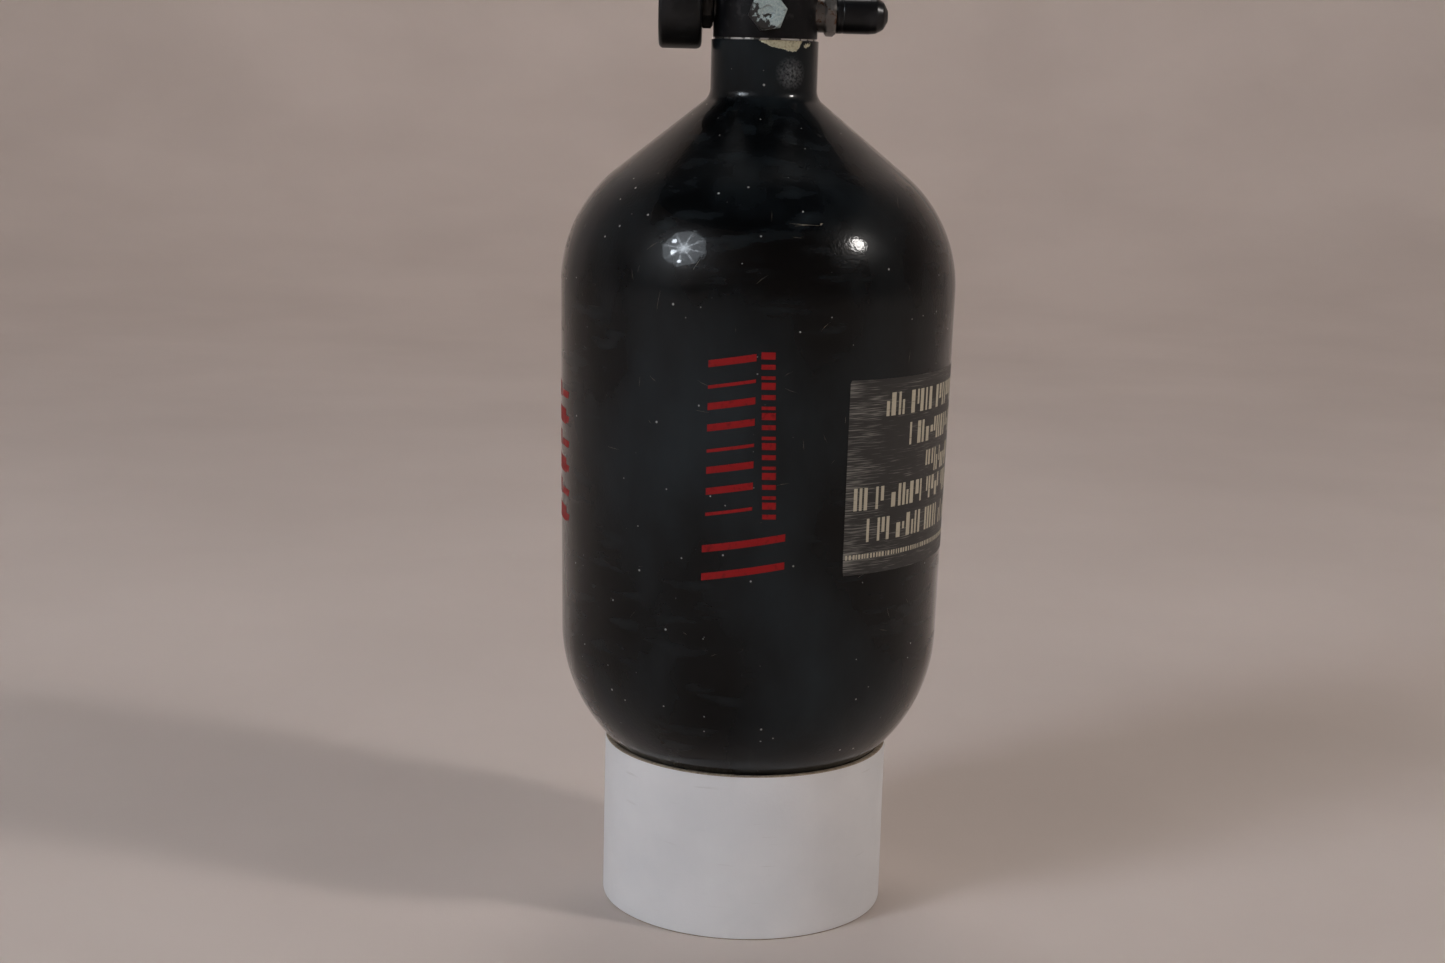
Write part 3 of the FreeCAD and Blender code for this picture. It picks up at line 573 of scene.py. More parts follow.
# Painted highlight and smudge: noise breaks up the pale grey patch round that spot on the neck.
smudge_and_sheen_spots = lacquer.span(lacquer.noise(1500, 5.0), 0.35, 0.65)
smudge_and_sheen = lacquer.times(lacquer.span(lacquer.distance(SMUDGE_AND_SHEEN_SPOT * MM), 5.0 * MM, 0.5 * MM), smudge_and_sheen_spots)
dust_and_sheen = lacquer.mix(smudge_and_sheen, dust_and_sheen, (0.13, 0.135, 0.14))
lacquer.paint(
    base_color=lacquer.mix(bare, dust_and_sheen, filler),
    roughness=lacquer.span(film, 0.0, 0.8, 0.22, 0.46),
)
scuff = lacquer.times(lacquer.noise(1400, 3.0), lacquer.span(lacquer.noise(45, 4.0), 0.42, 0.62))
relief = lacquer.plus(scuff, speck)
lacquer.bump(relief, 0.08)
lacquer.bump(relief, 0.035, "coat_normal")

# %% The lacquer shell and its chip
CHIP_EDGE = [(-8, 219.5), (-2, 218.6), (5, 217.8), (18, 217.1), (29, 216.4), (34, 216.3),
             (38, 217.4), (43, 219.4)]
CHIP_DEPTH, FLAKE_CENTRE, FLAKE_SIZE = 0.32, Vector((51, 218.2)), Vector((6.5, 0.75))
CHIP_FLOOR = POLE + 214


def chip_share(azimuth, height):
    """How bare a point of the neck is, from 0 to 1: above the ragged edge, or inside the flake."""
    angle = (azimuth + 180) % 360 - 180
    ragged = 0.35 * noise.noise(Vector((angle * 0.35, height * 1.4, 0))) + 0.16 * noise.noise(
        Vector((angle * 1.3, height * 4.0, 5)))
    level = height - POLE
    share = 0.0
    for (left, left_edge), (right, right_edge) in zip(CHIP_EDGE, CHIP_EDGE[1:]):
        if left <= angle < right:
            edge = left_edge + (right_edge - left_edge) * (angle - left) / (right - left)
            share = (level - edge + ragged) / 0.22 + 0.5
    inside = Vector(((angle - FLAKE_CENTRE.x) / FLAKE_SIZE.x, (level - FLAKE_CENTRE.y) / FLAKE_SIZE.y)).length
    share = max(share, (1 - inside + 2.2 * ragged) / 0.4)
    return min(1.0, max(0.0, share))


def chipped(radius, height, azimuth):
    if height < CHIP_FLOOR or radius < NECK_RADIUS - 0.1:
        return radius
    return radius - CHIP_DEPTH * chip_share(azimuth, height)


neck_rows = 60
neck_foot = outer_skin[-1].y
LIP_ROUND = 0.15
neck_side = [(NECK_RADIUS, neck_foot + (RIM - LIP_ROUND - neck_foot) * row / neck_rows)
             for row in range(1, neck_rows + 1)]
inner_skin = bottle_outline(COAT_WALL)
inner_skin[0].x = 0.0
shell = [*outer_skin, *neck_side, (NECK_RADIUS - LIP_ROUND, RIM), (NECK_RADIUS - COAT_WALL, RIM),
         *reversed(inner_skin)]
lacquer_shell = lathe("lacquer_shell", shell, steps=384, shape=chipped)
bare_share = lacquer_shell.data.attributes.new("bare", "FLOAT", "POINT")
for index, vertex in enumerate(lacquer_shell.data.vertices):
    place = vertex.co / MM
    if place.z > CHIP_FLOOR:
        azimuth = math.degrees(math.atan2(place.x, -place.y))
        bare_share.data[index].value = chip_share(azimuth, place.z)
dress(lacquer_shell, "coat", "tank", "outer_coat")

# %% [markdown]
# ## Prints and scratches
#
# Labels on a bottle are drawn flat and then bent round it, and that is how they are made here.
# A shape is a list of corners in degrees round the bottle and millimetres above its lowest
# point. `printed` cuts it into narrow strips, gives it a thickness, and maps every point onto
# the skin. The prints are plain bars and stripes, so nothing on the bottle can be read.

# %% The bending helper
STRIP_TURN, STRIP_RISE = 2.0, 4.0


def printed(name, shapes, lift=0.02, thickness=0.03):
    """Flat shapes, bent round the bottle as one thin layer."""
    layer = bmesh.new()
    for shape in shapes:
        layer.faces.new([layer.verts.new((turn, level, 0)) for turn, level in shape])
    bmesh.ops.triangulate(layer, faces=layer.faces)
    for axis, gap in ((0, STRIP_TURN), (1, STRIP_RISE)):
        ends = [vertex.co[axis] for vertex in layer.verts]
        normal = (1, 0, 0) if axis == 0 else (0, 1, 0)
        for cut in range(math.ceil(min(ends) / gap), math.floor(max(ends) / gap) + 1):
            everything = [*layer.verts, *layer.edges, *layer.faces]
            bmesh.ops.bisect_plane(layer, geom=everything, plane_co=[cut * gap * part for part in normal],
                                   plane_no=normal)
    raised = bmesh.ops.extrude_face_region(layer, geom=layer.faces[:])["geom"]
    for vertex in raised:
        if isinstance(vertex, bmesh.types.BMVert):
            vertex.co.z = thickness
    for vertex in layer.verts:
        height = POLE + vertex.co.y
        out = bottle_radius(height) + lift + vertex.co.z
        vertex.co = (direction(vertex.co.x) * out + Vector((0, 0, height))) * MM
    return finished(name, layer)


def bar(left, low, right, high, skew=0.0):
    """A four-cornered bar; skew slides its top edge sideways, in degrees."""
    return [(left, low), (right, low), (right + skew, high), (left + skew, high)]


print("bending helper ready")

# %% [markdown]
# The data label is silvery film with a dark print that years of handling have rubbed off in
# level streaks, mostly at its left edge. The streaks are noise that is stretched round the
# bottle, so they follow the film wherever it goes. Rows of small bars stand in for its lettering.

# %% Label finish
LABEL_LEFT, LABEL_RIGHT, LABEL_LOW, LABEL_HIGH = 26.2, 114.2, 75.8, 129.9
film = Finish("spec_film", specular_ior_level=0.5)
streak = film.noise(1.0, 4.0, film.wrapped(0.056, 130, 3600))
patch = film.noise(1.0, 3.0, film.wrapped(0.056, 60, 170))
sides = film.split(film.wrapped(0.056, 1000, 1000))[0]
edge_wear = film.span(sides, 26, 40, 0.10, 0.0)
loss = film.plus(streak, film.plus(edge_wear, film.times(patch, 0.45)))
rubbed = film.span(loss, 0.80, 0.98)
film.paint(
    base_color=film.mix(rubbed, (0.016, 0.0155, 0.015), (0.24, 0.235, 0.215)),
    metallic=film.times(rubbed, 0.6),
    roughness=film.span(streak, 0.3, 0.7, 0.30, 0.50),
)
film.bump(streak, 0.012)

ink = Finish("label_ink", roughness=0.5)
worn = ink.span(ink.noise(1.0, 4.0, ink.wrapped(0.056, 240, 2800)), 0.62, 0.72)
ink.paint(base_color=ink.mix(worn, (0.47, 0.43, 0.33), (0.16, 0.15, 0.12)))
ink.bump(ink.noise(1500, 3.0), 0.01)

# %% The label and its rows of bars
LABEL_MIDDLE = (LABEL_LEFT + LABEL_RIGHT) / 2
ROWS = [(119.5, 125.9, 38.8), (110.6, 116.9, 49.0), (101.2, 107.9, 58.5), (93.8, 100.1, 28.8),
        (84.8, 91.3, 33.6)]


def strokes(start, low, high):
    """A row of upright bars, some full height and some cut short, with gaps between its words."""
    turn, end, row = start, 2 * LABEL_MIDDLE - start, []
    while turn < end - 1.6:
        width = picker.choice((0.9, 1.15, 1.7))
        bottom = low + picker.choice((0, 0, 0, 0.35)) * (high - low)
        top = high - picker.choice((0, 0, 0, 0.35)) * (high - low)
        row.append(bar(turn, bottom, turn + width, top))
        turn += width + (3.0 if picker.random() < 0.10 else picker.choice((0.7, 0.95, 1.2)))
    return row


picker = random.Random(7)
marks = [mark for low, high, start in ROWS for mark in strokes(start, low, high)]
turn = LABEL_LEFT + 0.7
while turn < LABEL_RIGHT - 2:
    width = picker.uniform(0.35, 0.8)
    marks.append(bar(turn, 80.2, turn + width, 81.5))
    turn += width + picker.uniform(0.35, 0.7)
ragged_left = [(LABEL_LEFT + 0.35 * noise.noise(Vector((0, level, 2))), level)
               for level in (LABEL_HIGH - 0.8, 122, 114, 105, 97, 88, 81, LABEL_LOW + 0.8)]
label_corners = [(LABEL_LEFT + 0.4, LABEL_LOW), (LABEL_RIGHT, LABEL_LOW), (LABEL_RIGHT, LABEL_HIGH),
                 (LABEL_LEFT + 0.4, LABEL_HIGH), *ragged_left]
dress(printed("spec_label", [label_corners], lift=0.01, thickness=0.05), "spec_film", "tank", "spec_panel")
label_print = printed("spec_rows", marks, lift=0.05, thickness=0.02)
dress(label_print, "spec_film", "tank")
label_print.data.materials[0] = ink.material

# %% [markdown]
# The red print runs up the front: a column of slanted stripes with a fine column of ticks beside
# it, over two wide stripes, and more bars on the side. It is screen-printed ink, thin and matt,
# with a few pinholes, so the finish is a red that noise darkens in places.

# %% Red print
red = Finish("red_print", specular_ior_level=0.18)
thin = red.span(red.noise(700, 4.0), 0.56, 0.72)
red.paint(
    base_color=red.mix(thin, (0.235, 0.006, 0.007), (0.13, 0.004, 0.005)),
    roughness=red.span(red.noise(300), 0.3, 0.7, 0.42, 0.58),
)
red.bump(red.noise(1300, 3.0), 0.006)

COLUMN_LEFT, COLUMN_RIGHT, COLUMN_LOW = -13.6, -0.6, 92.6
STRIPE_COUNT, STRIPE_GAP, STRIPE_SLOPE = 8, 5.8, 0.17


def stripe(left, low, right, thickness):
    """A bar that climbs to the right; every stripe has the same slope, so they never meet."""
    rise = (right - left) * STRIPE_SLOPE
    return [(left, low), (right, low + rise), (right, low + rise + thickness), (left, low + thickness)]


front_marks = [stripe(COLUMN_LEFT, COLUMN_LOW + index * STRIPE_GAP, COLUMN_RIGHT, 1.9 if index % 3 else 0.9)
               for index in range(STRIPE_COUNT)]
front_marks += [stripe(-14.4, low, 8.8, 2.0) for low in (74.6, 82.4)]
TICK_LEFT, TICK_RIGHT, TICK_COUNT, TICK_GAP = 2.2, 6.0, 17, 2.72
for index in range(TICK_COUNT):
    level = COLUMN_LOW - 0.2 + index * TICK_GAP
    lean = -1.6 * index / TICK_COUNT
    front_marks.append(bar(TICK_LEFT + lean, level, TICK_RIGHT + lean, level + (1.3, 1.9, 0.9)[index % 3]))
dress(printed("front_bars", front_marks, lift=0.015), "red_print", "tank", "front_panel")
side_marks = []
level = 82.0
for index in range(6):
    side_marks.append(bar(-93, level, -80 if index % 2 else -73, level + 4.4))
    side_marks.append(bar(-78.6, level + 0.6, -70.4, level + 2.6, 1.0))
    level += 7.1
dress(printed("side_bars", side_marks, lift=0.015), "red_print", "tank", "side_panel")

# %% [markdown]
# Hairline scratches catch the light as thin pale lines. Painting them in the shader would need a
# mask for each, so they are narrow printed slivers instead: one long level scratch on the
# shoulder, a few near it, and a scatter of short ones drawn with a fixed seed.

# %% Scratches
scratch = Finish("bare_scratch", roughness=0.45)
scratch.paint(base_color=scratch.mix(scratch.span(scratch.noise(900, 3.0), 0.4, 0.65), (0.16, 0.13, 0.085),
                                     (0.045, 0.045, 0.045)))
scratch.bump(scratch.noise(2000), 0.01)


def hairline(turn, level, length, slope, width):
    """A sliver that tapers to both ends: its slope is in degrees from level."""
    run, climb = length * math.cos(math.radians(slope)), length * math.sin(math.radians(slope))
    across, up = -width * math.sin(math.radians(slope)), width * math.cos(math.radians(slope))
    middle = (turn + run * 0.45, level + climb * 0.55)
    return [(turn, level), (middle[0] - across, middle[1] - up), (turn + run, level + climb),
            (middle[0] + across, middle[1] + up)]


picker = random.Random(11)
HAIRLINE_COUNT = 120
lines = [hairline(7.9, 171.6, 10.0, -3, 0.09), hairline(17.4, 171.2, 1.2, 25, 0.28),
         hairline(9.5, 170.9, 5.0, 4, 0.05), hairline(-20, 156, 7.0, 62, 0.05),
         hairline(-29, 147, 6.0, 80, 0.04)]
for index in range(HAIRLINE_COUNT):
    lines.append(hairline(picker.uniform(-180, 180), picker.uniform(52, 176), picker.uniform(0.8, 4.5),
                          picker.uniform(-90, 90), picker.uniform(0.015, 0.05)))
scratches = printed("coat_scratches", lines, lift=0.004, thickness=0.012)
dress(scratches, "coat", "tank")
scratches.data.materials[0] = scratch.material

# %% [markdown]
# ## The regulator
#
# The regulator's body and the bonnet above it are turned from aluminium bar and anodised black.
# The tool leaves fine rings, which spread the highlight sideways. They are too fine to model, so
# they are a bump of noise that changes only along the height. The edges are rounded in the mesh,
# because a bright edge line is what makes turned metal look turned.

# %% Anodised finish
anodised = Finish("anodised", metallic=0.35, specular_ior_level=0.22)
rings = anodised.noise(1.0, 3.0, anodised.scaled(0, 0, 5200))
wear = anodised.span(anodised.noise(420, 5.0), 0.60, 0.72)
anodised.paint(
    base_color=anodised.mix(wear, (0.006, 0.006, 0.007), (0.022, 0.022, 0.023)),
    roughness=anodised.span(rings, 0.3, 0.7, 0.30, 0.42),
)
anodised.bump(rings, 0.03)

# %% [markdown]
# Cross holes are cut with a Boolean modifier and a thin rod, as a drill would, and the result is
# kept as plain mesh. `sideways` turns a part that was spun about +Z so that it points out of the
# regulator at an azimuth.

# %% Drilling and turning parts sideways
def sideways(azimuth, height):
    """Lay a part that points up along the direction at an azimuth, at a height."""
    lift = Matrix.Translation((0, 0, height * MM))
    return lift @ Matrix.Rotation(math.radians(azimuth), 4, "Z") @ Matrix.Rotation(math.pi / 2, 4, "X")


def drilled(piece, holes):
    """Cut round holes: each is a radius, where it starts and ends, and a placing matrix."""
    for radius, start, end, place in holes:
        rod_outline = [(0, start), (radius, start), (radius, end), (0, end)]
        rod = lathe("drill_rod", rod_outline, steps=40, place=place)
        cut = piece.modifiers.new("drill", "BOOLEAN")
        cut.operation = "DIFFERENCE"
        cut.solver = "EXACT"
        cut.object = rod
        bpy.context.view_layer.update()
        seen = piece.evaluated_get(bpy.context.evaluated_depsgraph_get())
        kept = bpy.data.meshes.new_from_object(seen)
        piece.modifiers.clear()
        piece.data = kept
        bpy.data.objects.remove(rod)
    piece.data.shade_smooth()
    piece.data.set_sharp_from_angle(angle=math.radians(35))
    return piece


print("drill ready")

# %% Regulator body
body_low, body_high = node_box("regulator_body")
BODY_RADIUS = body_high.x
BODY_TOP = body_high.z
STUB_RADIUS, STUB_PITCH, GRIP_LOW, GRIP_HIGH, GRIP_DEPTH = 7.94, 1.411, 16.4, 17.6, 0.5
WEEP_HEIGHT, WEEP_AZIMUTH, WEEP_RADIUS = 20, 135, 0.8
skirt_bore, spring_bore, chamber_bore, guide_bore = 12.65, 11.0, 4.6, 3.05
stub_low, stub_length = body_low.z + 0.8, NECK_TOP - body_low.z - 1.6
stub_rows = [(STUB_RADIUS, stub_low + stub_length * row / 120) for row in range(121)]


def stub_thread(radius, height, azimuth):
    """A 60 degree helical thread on the stub that screws into the bottle."""
    if abs(radius - STUB_RADIUS) > 0.01 or not body_low.z + 1 < height < NECK_TOP - 2.5:
        return radius
    share = ((height / STUB_PITCH) - azimuth / 360) % 1
    return radius - 0.6 * STUB_PITCH * (1 - abs(2 * share - 1)) * 0.9


regulator_outline = rounded([
    (2.4, body_low.z), (STUB_RADIUS - 0.8, body_low.z), *stub_rows, (STUB_RADIUS, NECK_TOP),
    (BODY_RADIUS, NECK_TOP, 0.4), (BODY_RADIUS, NECK_TOP + GRIP_LOW, 0.15),
    (BODY_RADIUS - GRIP_DEPTH, NECK_TOP + GRIP_LOW + GRIP_DEPTH, 0.1),
    (BODY_RADIUS - GRIP_DEPTH, NECK_TOP + GRIP_HIGH - GRIP_DEPTH, 0.1),
    (BODY_RADIUS, NECK_TOP + GRIP_HIGH, 0.15), (BODY_RADIUS, BODY_TOP, 0.25),
    (skirt_bore, BODY_TOP, 0.2), (skirt_bore, NECK_TOP + 22), (spring_bore, NECK_TOP + 22),
    (spring_bore, NECK_TOP + 18), (guide_bore, NECK_TOP + 18), (guide_bore, NECK_TOP + 12),
    (chamber_bore, NECK_TOP + 12), (chamber_bore, NECK_TOP + 2), (2.4, NECK_TOP + 2),
], 5)
regulator = lathe("regulator_barrel", regulator_outline, steps=192, shape=stub_thread)
weep_place = sideways(WEEP_AZIMUTH, NECK_TOP + WEEP_HEIGHT)
drilled(regulator, [(WEEP_RADIUS, spring_bore - 1, BODY_RADIUS + 2, weep_place)])
dress(regulator, "anodised", "tank", "regulator_body")

# %% [markdown]
# The bonnet ends in the thread that screws into the marker. A thread made of stacked rings looks
# wrong from every side but one, so the radius follows a true helix: it depends on the height and
# on the way round together, and fades out at both ends as a cut thread does.

# %% Bonnet
bonnet_top = node_box("bonnet")[1].z
HEAD_TOP, THREAD_RADIUS, THREAD_PITCH = 42.0, 10.48, 1.814
THREAD_LOW, THREAD_HIGH, UNDERCUT = 43.2, 56.9, 9.3
SPANNER_HEIGHT, SPANNER_RADIUS, SPANNER_DEPTH, SPANNER_COUNT = 33.4, 1.5, 2.2, 4
OUTLET_HEIGHT, OUTLET_RADIUS = 36.0, 4.0
cartridge_bore, low_chamber, ledge_bore, skirt_inner, skirt_outer = 4.8, 4.0, 2.2, 11.05, 12.6
thread_first, thread_last = NECK_TOP + THREAD_LOW + 1.2, NECK_TOP + THREAD_HIGH - 0.6
thread_rows = [(THREAD_RADIUS, thread_first + (thread_last - thread_first) * row / 150) for row in range(151)]


def marker_thread(radius, height, azimuth):
    """A helical thread with a flat crest that runs out at both ends."""
    if abs(radius - THREAD_RADIUS) > 0.01:
        return radius
    share = ((height / THREAD_PITCH) - azimuth / 360) % 1
    run_in = min(1.0, (height - thread_first) / 0.9, (thread_last - height) / 0.9)
    return radius - max(0.0, run_in) * 1.05 * min(1.0, 1.25 * (1 - abs(2 * share - 1)))


bonnet_outline = rounded([
    (low_chamber, NECK_TOP + 31), (skirt_inner, NECK_TOP + 31), (skirt_inner, NECK_TOP + 22.4),
    (skirt_outer, NECK_TOP + 22.4, 0.2), (skirt_outer, BODY_TOP), (BODY_RADIUS, BODY_TOP, 0.25),
    (BODY_RADIUS, NECK_TOP + HEAD_TOP, 0.8), (UNDERCUT, NECK_TOP + HEAD_TOP, 0.3),
    (UNDERCUT, NECK_TOP + THREAD_LOW), *thread_rows, (THREAD_RADIUS - 0.6, NECK_TOP + THREAD_HIGH),
    (8.2, NECK_TOP + THREAD_HIGH, 0.15), (8.2, NECK_TOP + 59.1, 0.15), (8.9, NECK_TOP + 59.1, 0.1),
    (8.9, bonnet_top, 0.3), (cartridge_bore, bonnet_top, 0.2), (cartridge_bore, NECK_TOP + 40),
    (ledge_bore, NECK_TOP + 40), (ledge_bore, NECK_TOP + 38), (low_chamber, NECK_TOP + 38),
], 5)
bonnet = lathe("threaded_bonnet", bonnet_outline, steps=192, shape=marker_thread)
spanner_holes = [
    (SPANNER_RADIUS, BODY_RADIUS - SPANNER_DEPTH, BODY_RADIUS + 2,
     sideways(45 + 360 * index / SPANNER_COUNT, NECK_TOP + SPANNER_HEIGHT))
    for index in range(SPANNER_COUNT)
]
outlet = (OUTLET_RADIUS, 8.5, BODY_RADIUS + 2, sideways(BACK, NECK_TOP + OUTLET_HEIGHT))
dress(drilled(bonnet, [*spanner_holes, outlet]), "anodised", "tank", "bonnet")

# %% [markdown]
# ## Rubber
#
# Three kinds of rubber sit outside: the dust cap, the gauge's boot and the O-ring on the nose.
# All are black, and they differ in gloss: the cap is fingered smooth, the boot has the fine
# grain of its mould, and the O-ring is greased. One function makes them, and the seals inside.

# %% Rubber finishes
def rubber(name, colour, dull, grain, depth):
    """Moulded rubber: its grain is a number of bumps per metre, its depth in millimetres."""
    finish = Finish(name, specular_ior_level=0.3)
    dust = finish.span(finish.noise(160, 5.0), 0.5, 0.8)
    finish.paint(
        base_color=finish.mix(dust, colour, tuple(part * 2.6 + 0.004 for part in colour)),
        roughness=finish.span(dust, 0.0, 1.0, dull, dull + 0.2),
    )
    finish.bump(finish.noise(grain, 3.0), depth)
    return finish


rubber("cap_rubber", (0.004, 0.004, 0.0045), 0.28, 900, 0.012)
rubber("boot_rubber", (0.003, 0.003, 0.0033), 0.40, 1500, 0.02)
rubber("tank_seal", (0.010, 0.0095, 0.009), 0.22, 600, 0.006)
rubber("seal_rubber", (0.012, 0.012, 0.012), 0.35, 800, 0.01)

# %% Dust cap
cap_near, cap_far, cap_radius, PORT_HEIGHT = reach("nipple_cap", RIGHT)
CAP_INNER, CAP_FLOOR_WALL, CAP_LIP = 4.2, 2.15, 0.35
cap_outline = rounded([
    (0, cap_far), (cap_radius * 0.30, cap_far, 1.1), (cap_radius * 0.74, cap_far - 1.2, 1.6),
    (cap_radius * 0.95, cap_far - 3.2, 1.8), (cap_radius, cap_far - 5.2, 1.8),
    (cap_radius, cap_near + 2.2, 0.3), (cap_radius - 0.12, cap_near + 1.9, 0.2),
    (cap_radius, cap_near + 1.2, 0.2), (cap_radius, cap_near, CAP_LIP),
    (CAP_INNER, cap_near, CAP_LIP * 0.6), (CAP_INNER, cap_far - CAP_FLOOR_WALL),
    (0, cap_far - CAP_FLOOR_WALL),
], 8)
cap_place = sideways(RIGHT, PORT_HEIGHT)
dress(lathe("dust_cap", cap_outline, steps=128, place=cap_place), "cap_rubber", "cap", "nipple_cap")

# %% O-ring on the nose
ring_low, ring_high = node_box("tank_ring")
ring_wire = (ring_high.z - ring_low.z) / 2
ring_hub = Vector((ring_high.x - ring_wire, (ring_low.z + ring_high.z) / 2))
nose_ring = arc(ring_hub, ring_wire, 0, 2 * math.pi, 28)[:-1]
dress(lathe("nose_ring", nose_ring, steps=160), "tank_seal", "tank", "tank_ring")

# %% [markdown]
# ## Metal fittings
#
# Plated, brass and steel fittings share one recipe: a metal colour, a second colour where the
# surface is worn or stained, and tool marks that run round the part's own axis. A hexagon is
# turned too: `hexed` limits the lathe's radius to six flats, so the corners keep the conical
# chamfer that a real bar nut has.

# %% Metal finishes
def metal(name, colour, stain, share, dull, grain=(900, 900, 900), depth=0.006, metallic=1.0):
    """A metal with a stained share of its surface and tool marks of a given grain."""
    finish = Finish(name, metallic=metallic)
    cloud = finish.noise(520, 6.0)
    spread = finish.span(cloud, 0.72 - 0.4 * share, 0.80 - 0.4 * share)
    marks = finish.noise(1.0, 3.0, finish.scaled(*grain))
    finish.paint(
        base_color=finish.mix(spread, colour, stain),
        roughness=finish.span(marks, 0.3, 0.7, dull - 0.06, dull + 0.08),
    )
    finish.bump(finish.plus(marks, spread), depth)
    return finish


metal("nipple_steel", (0.16, 0.15, 0.14), (0.085, 0.034, 0.014), 0.42, 0.40, (6000, 60, 60), 0.010, 0.85)
metal("brass", (0.62, 0.42, 0.16), (0.36, 0.22, 0.08), 0.2, 0.28)
metal("gauge_brass", (0.030, 0.029, 0.028), (0.16, 0.11, 0.05), 0.22, 0.42, (4000, 60, 60), 0.008, 0.6)
metal("liner_alloy", (0.62, 0.62, 0.61), (0.10, 0.10, 0.098), 0.55, 0.30, (60, 60, 5200))
metal("piston_steel", (0.55, 0.54, 0.52), (0.36, 0.35, 0.34), 0.2, 0.20, (60, 60, 4000))
metal("spring_steel", (0.33, 0.33, 0.35), (0.16, 0.13, 0.11), 0.3, 0.34)
metal("copper", (0.62, 0.26, 0.14), (0.30, 0.12, 0.07), 0.25, 0.30)
metal("filter_bronze", (0.42, 0.26, 0.12), (0.20, 0.12, 0.06), 0.4, 0.62, (2600, 2600, 2600), 0.06)


# %% Burst plug finish
plug = Finish("plug_nickel", metallic=0.25, specular_ior_level=0.5)
grit = plug.noise(2100, 5.0)
plating = plug.mix(plug.span(grit, 0.35, 0.68), (0.25, 0.315, 0.315), (0.41, 0.475, 0.465))
tarnish = plug.noise(620, 6.0)
parts = plug.split()
sink = plug.plus(parts[0], parts[2])
# The plating goes dark in patches of tarnish noise, and more of it towards the lower left of the face.
low_corner = plug.span(sink, (PORT_HEIGHT + 1.0) * MM, (PORT_HEIGHT - 6.5) * MM, 0.0, 0.34)
tarnish_and_low_corner = plug.span(plug.plus(tarnish, low_corner), 0.62, 0.68)
plug.paint(
    base_color=plug.mix(tarnish_and_low_corner, plating, (0.020, 0.019, 0.018)),
    roughness=plug.span(grit, 0.3, 0.7, 0.38, 0.62),
)
plug.bump(plug.math("SUBTRACT", grit, plug.times(tarnish_and_low_corner, 1.5)), 0.035)
print("metal finishes", sorted(FINISHES))

# %% Hexagons and burst plugs
HEX_CHAMFER, SIDE_THREAD = 0.6, 4.84


def nut(flats, low, high):
    """The turned outline of a hexagon: as wide as its corners, with a chamfer at each end."""
    face, corner = flats / 2 - 0.1, flats / 2 / math.cos(math.radians(30))
    return [(face, low), (corner, low + HEX_CHAMFER), (corner, high - HEX_CHAMFER), (face, high)]


def hexed(flats, twist, low, high):
    """Limit the radius to six flats between two heights."""
    def cut(radius, height, azimuth):
        if not low - 0.01 <= height <= high + 0.01:
            return radius
        from_flat = (azimuth - twist + 30) % 60 - 30
        return min(radius, flats / 2 / math.cos(math.radians(from_flat)))
    return cut


def burst_plug(name, node, azimuth, flats, twist, thread, vent):
    """A hex plug with a chamfered head, a shallow centre and three cross vents."""
    near_end, far_end, _, height = reach(node, azimuth)
    seat = BODY_RADIUS + 0.15
    corner = flats / 2 / math.cos(math.radians(30))
    outline = rounded([
        (0, near_end + 1.4), (thread * 0.42, near_end + 1.4), (thread * 0.42, near_end),
        (thread, near_end, 0.1), (thread, seat - 0.4), (thread - 0.5, seat), (corner, seat),
        (corner, far_end - 0.75), (flats / 2 - 0.1, far_end, 0.25), (flats * 0.20, far_end, 0.2),
        (flats * 0.16, far_end - 0.35), (0, far_end - 0.35),
    ], 4)
    place = sideways(azimuth, height)
    plug_piece = lathe(name, outline, shape=hexed(flats, twist, seat, far_end), place=place)
    vent_height = far_end - 2.1 * vent
    vents = [(vent, -flats, flats, place @ sideways(twist + 60 * index, vent_height)) for index in range(3)]
    return dress(drilled(plug_piece, vents), "plug_nickel", "tank", node)


burst_plug("front_burst_plug", "high_burst_plug", FRONT, flats=9.5, twist=10, thread=4.8, vent=0.8)
burst_plug("back_burst_plug", "low_burst_plug", BACK, flats=8.0, twist=10, thread=3.9, vent=0.65)

# %% Fill nipple
nipple_near, nipple_far, _, _ = reach("fill_nipple", RIGHT)
HEX_LOW, HEX_HIGH, HEX_FLATS, HEX_TWIST, NOSE = 16.6, 19.8, 11.1, 50, 3.9
nipple_outline = rounded([
    (2.6, nipple_near), (SIDE_THREAD, nipple_near, 0.2), (SIDE_THREAD, 12.4), (3.95, 12.4), (3.95, 13.4),
    (SIDE_THREAD, 13.4), (SIDE_THREAD, 14.95), (5.0, 14.95), (5.0, HEX_LOW),
    *nut(HEX_FLATS, HEX_LOW, HEX_HIGH), (NOSE + 0.3, HEX_HIGH, 0.2), (NOSE, HEX_HIGH + 0.4),
    (NOSE, 24.5, 0.3), (3.1, 25.3, 0.4), (3.1, 26.2, 0.4), (NOSE, 27.0, 0.3), (NOSE, nipple_far, 0.6),
    (2.05, nipple_far, 0.15), (2.05, 29.5), (1.2, 29.5), (1.2, 18.4), (2.6, 17.0),
], 4)
nipple = lathe("fill_nipple_body", nipple_outline, place=cap_place,
               shape=hexed(HEX_FLATS, HEX_TWIST, HEX_LOW, HEX_HIGH))
dress(nipple, "nipple_steel", "tank", "fill_nipple")

# %% [markdown]
# ## The pressure gauge
#
# The gauge looks to the left: a black case with a crimped edge, a white dial, a red pointer and
# a slightly domed lens, all pushed into a thick rubber boot. The dial's marks are thin raised
# bars, and its figures are Blender text turned into mesh: plain numbers, as any gauge has.

